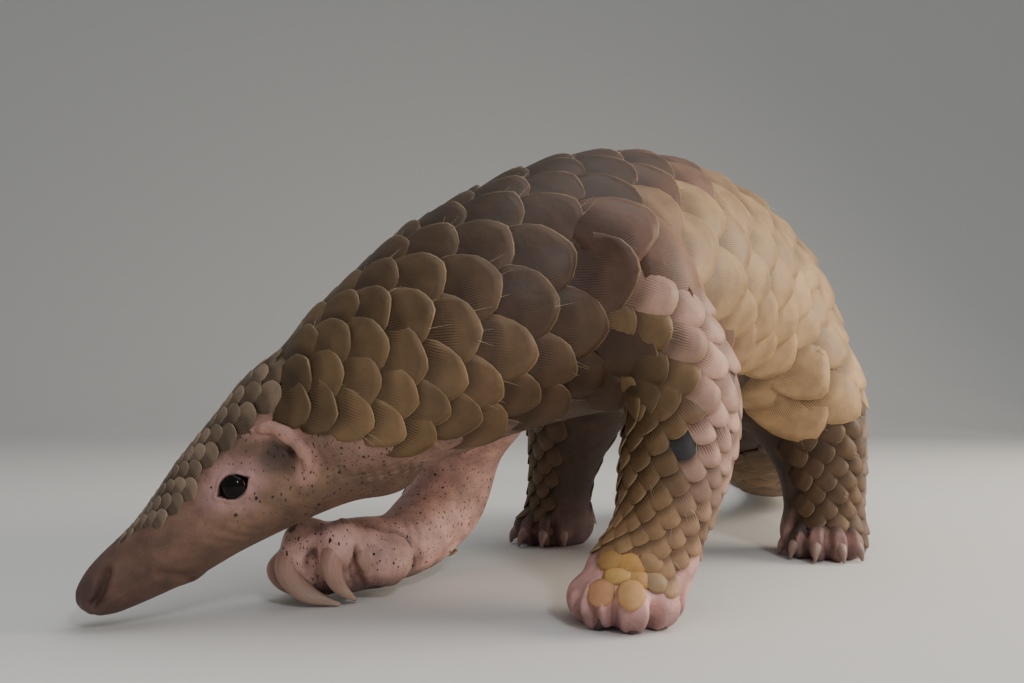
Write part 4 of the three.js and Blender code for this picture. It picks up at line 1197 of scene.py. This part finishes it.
uneven_bump = add_node(
    tree, "Bump", {"Strength": 0.3, "Distance": 0.0012}, {"Height": (uneven, "Fac"), "Normal": (line_bump, "Normal")})
tree.links.new(uneven_bump.outputs["Normal"], shader.inputs["Normal"])


def finish_scales(name, bm, thickness):
    bmesh.ops.recalc_face_normals(bm, faces=bm.faces)
    piece = finished_object(name, bm)
    plate = piece.modifiers.new("plate", "SOLIDIFY")
    plate.thickness = thickness / 1000
    plate.offset = -1
    piece.data.materials.append(horn_material)
    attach(piece, "root")


bm = new_scale_mesh()
tips = lay_scales(bm, "body", 24, 0.03, 0.62, BACK_SHAPE, body_horn)
tips += lay_scales(bm, "body", 18, 0.6, 0.70, BACK_SHAPE, body_horn)
finish_scales("back_scales", bm, 0.8)
bm = new_scale_mesh()
tips += lay_scales(bm, "body", 12, 0.68, 0.985, TAIL_SHAPE, body_horn)
finish_scales("tail_scales", bm, 0.8)
bm = new_scale_mesh()
lay_scales(bm, "head", 30, 0.345, 0.93, CROWN_SHAPE, head_horn)
finish_scales("crown_scales", bm, 0.6)
bm = new_scale_mesh()
leg_tips = lay_scales(bm, "foreleg_left", 18, 0.25, 0.47, LEG_SHAPE, foreleg_left_horn)
leg_tips += lay_scales(bm, "foreleg_left", 24, 0.47, 0.86, LEG_SHAPE, foreleg_left_horn)
leg_tips += lay_scales(bm, "foreleg_right", 20, 0.25, 0.64, LEG_SHAPE, hindleg_horn)
for name in ("hindleg_left", "hindleg_right"):
    leg_tips += lay_scales(bm, name, 22, 0.3, 0.84, LEG_SHAPE, hindleg_horn)
# Eight loose, convex, yellowish ovals lie on top of the left forefoot, each as middle, length, width and colour
FOOT_OVALS = (
    ((-77.6, -59, 25), 9.5, 12, "#A9814F"), ((-76.4, -67.5, 25), 9, 12.5, "#B98C50"),
    ((-73.4, -73.5, 25.5), 9, 10, "#957453"), ((-81, -63.4, 20.5), 9.5, 11.5, "#C39A5C"),
    ((-77.5, -71.5, 20), 9, 10, "#BE9058"), ((-88, -60, 15), 11.5, 11.5, "#BD8A62"),
    ((-84, -71, 14), 12.5, 11, "#C49664"), ((-73.4, -75, 18), 8.5, 9, "#9C8160"),
)
oval_uv, oval_face_uv, oval_bake_uv = (bm.loops.layers.uv[layer] for layer in SCALE_MAPS)
oval_tint = bm.verts.layers.float_color["horn_colour"]
oval_spot = chart_place("foreleg_left", 0.82, 0.2)
for centre, long, wide, colour in FOOT_OVALS:
    (root,), (way,), _ = on_hide([metres(centre)], 0.006)
    aim = np.array([-0.5, -0.25, -0.85])
    aim -= way * (aim @ way)
    aim /= np.linalg.norm(aim)
    aside = np.cross(way, aim)
    made = bmesh.ops.create_grid(bm, x_segments=8, y_segments=8, size=1)["verts"]
    for vertex in made:
        x, y = vertex.co.x, vertex.co.y
        u, v = x * math.sqrt(1 - y * y / 2), y * math.sqrt(1 - x * x / 2)
        lift = 2.1 - 1.6 * (u * u + v * v) + 0.3 * v
        vertex.co = root + (aim * v * long / 2 + aside * u * wide / 2 + way * lift) / 1000
        vertex[oval_tint] = linear(colour)
        for loop in vertex.link_loops:
            loop[oval_uv].uv = (u * wide / 2, v * long / 2)
            loop[oval_face_uv].uv = (0.5 + 0.49 * u, 0.9)
            loop[oval_bake_uv].uv = np.add(oval_spot, (0.001 * u, 0.001 * v))
finish_scales("leg_scales", bm, 0.7)


# Bristles
# Two or three stiff, pale hairs stand out from under the free edge of some scales.
BRISTLE_ROOT, BRISTLE_TIP = 0.00008, 0.00002
bristle_bm = bmesh.new()
bristle_uv = bristle_bm.loops.layers.uv.new("OFBake")
for spot, way, back, round_way, half, name, share, turn in tips + leg_tips[::2]:
    for _ in range(random.choice((0, 0, 0, 2, 3))):
        aside = random.uniform(-0.5, 0.5)
        root = Vector(spot) + Vector(round_way) * half * aside / 1000 - Vector(back) * 0.004 - Vector(way) * 0.001
        aim = Vector(back) + Vector(way) * random.uniform(0.1, 0.4) + Vector(round_way) * random.normal(0, 0.3)
        length = random.uniform(0.004, 0.010)
        turned = aim.to_track_quat("Z", "Y").to_matrix().to_4x4()
        place = Matrix.Translation(root + aim.normalized() * length / 2) @ turned
        made = bmesh.ops.create_cone(
            bristle_bm, segments=3, radius1=BRISTLE_ROOT, radius2=BRISTLE_TIP, depth=length, matrix=place)
        u, v = chart_place(name, share, turn)
        for vertex in made["verts"]:
            for loop in vertex.link_loops:
                loop[bristle_uv].uv = (u + (vertex.index % 3) * 0.001, v + 0.001)
bristles = finished_object("bristles", bristle_bm)
bristle_material, tree, shader = new_material("pale_bristle", {"Base Color": linear("#CDBB98"), "Roughness": 0.5})
grey = add_node(tree, "TexNoise", {"Scale": 1000 / 20.0}, {"Vector": (add_node(tree, "TexCoord"), "Object")})
bristle_colour = add_node(
    tree, "Mix", {"data_type": "RGBA", 6: linear("#B39D78"), 7: linear("#DCCFB2")}, {0: (grey, "Fac")})
tree.links.new(bristle_colour.outputs[2], shader.inputs["Base Color"])
bristles.data.materials.append(bristle_material)
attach(bristles, "root")
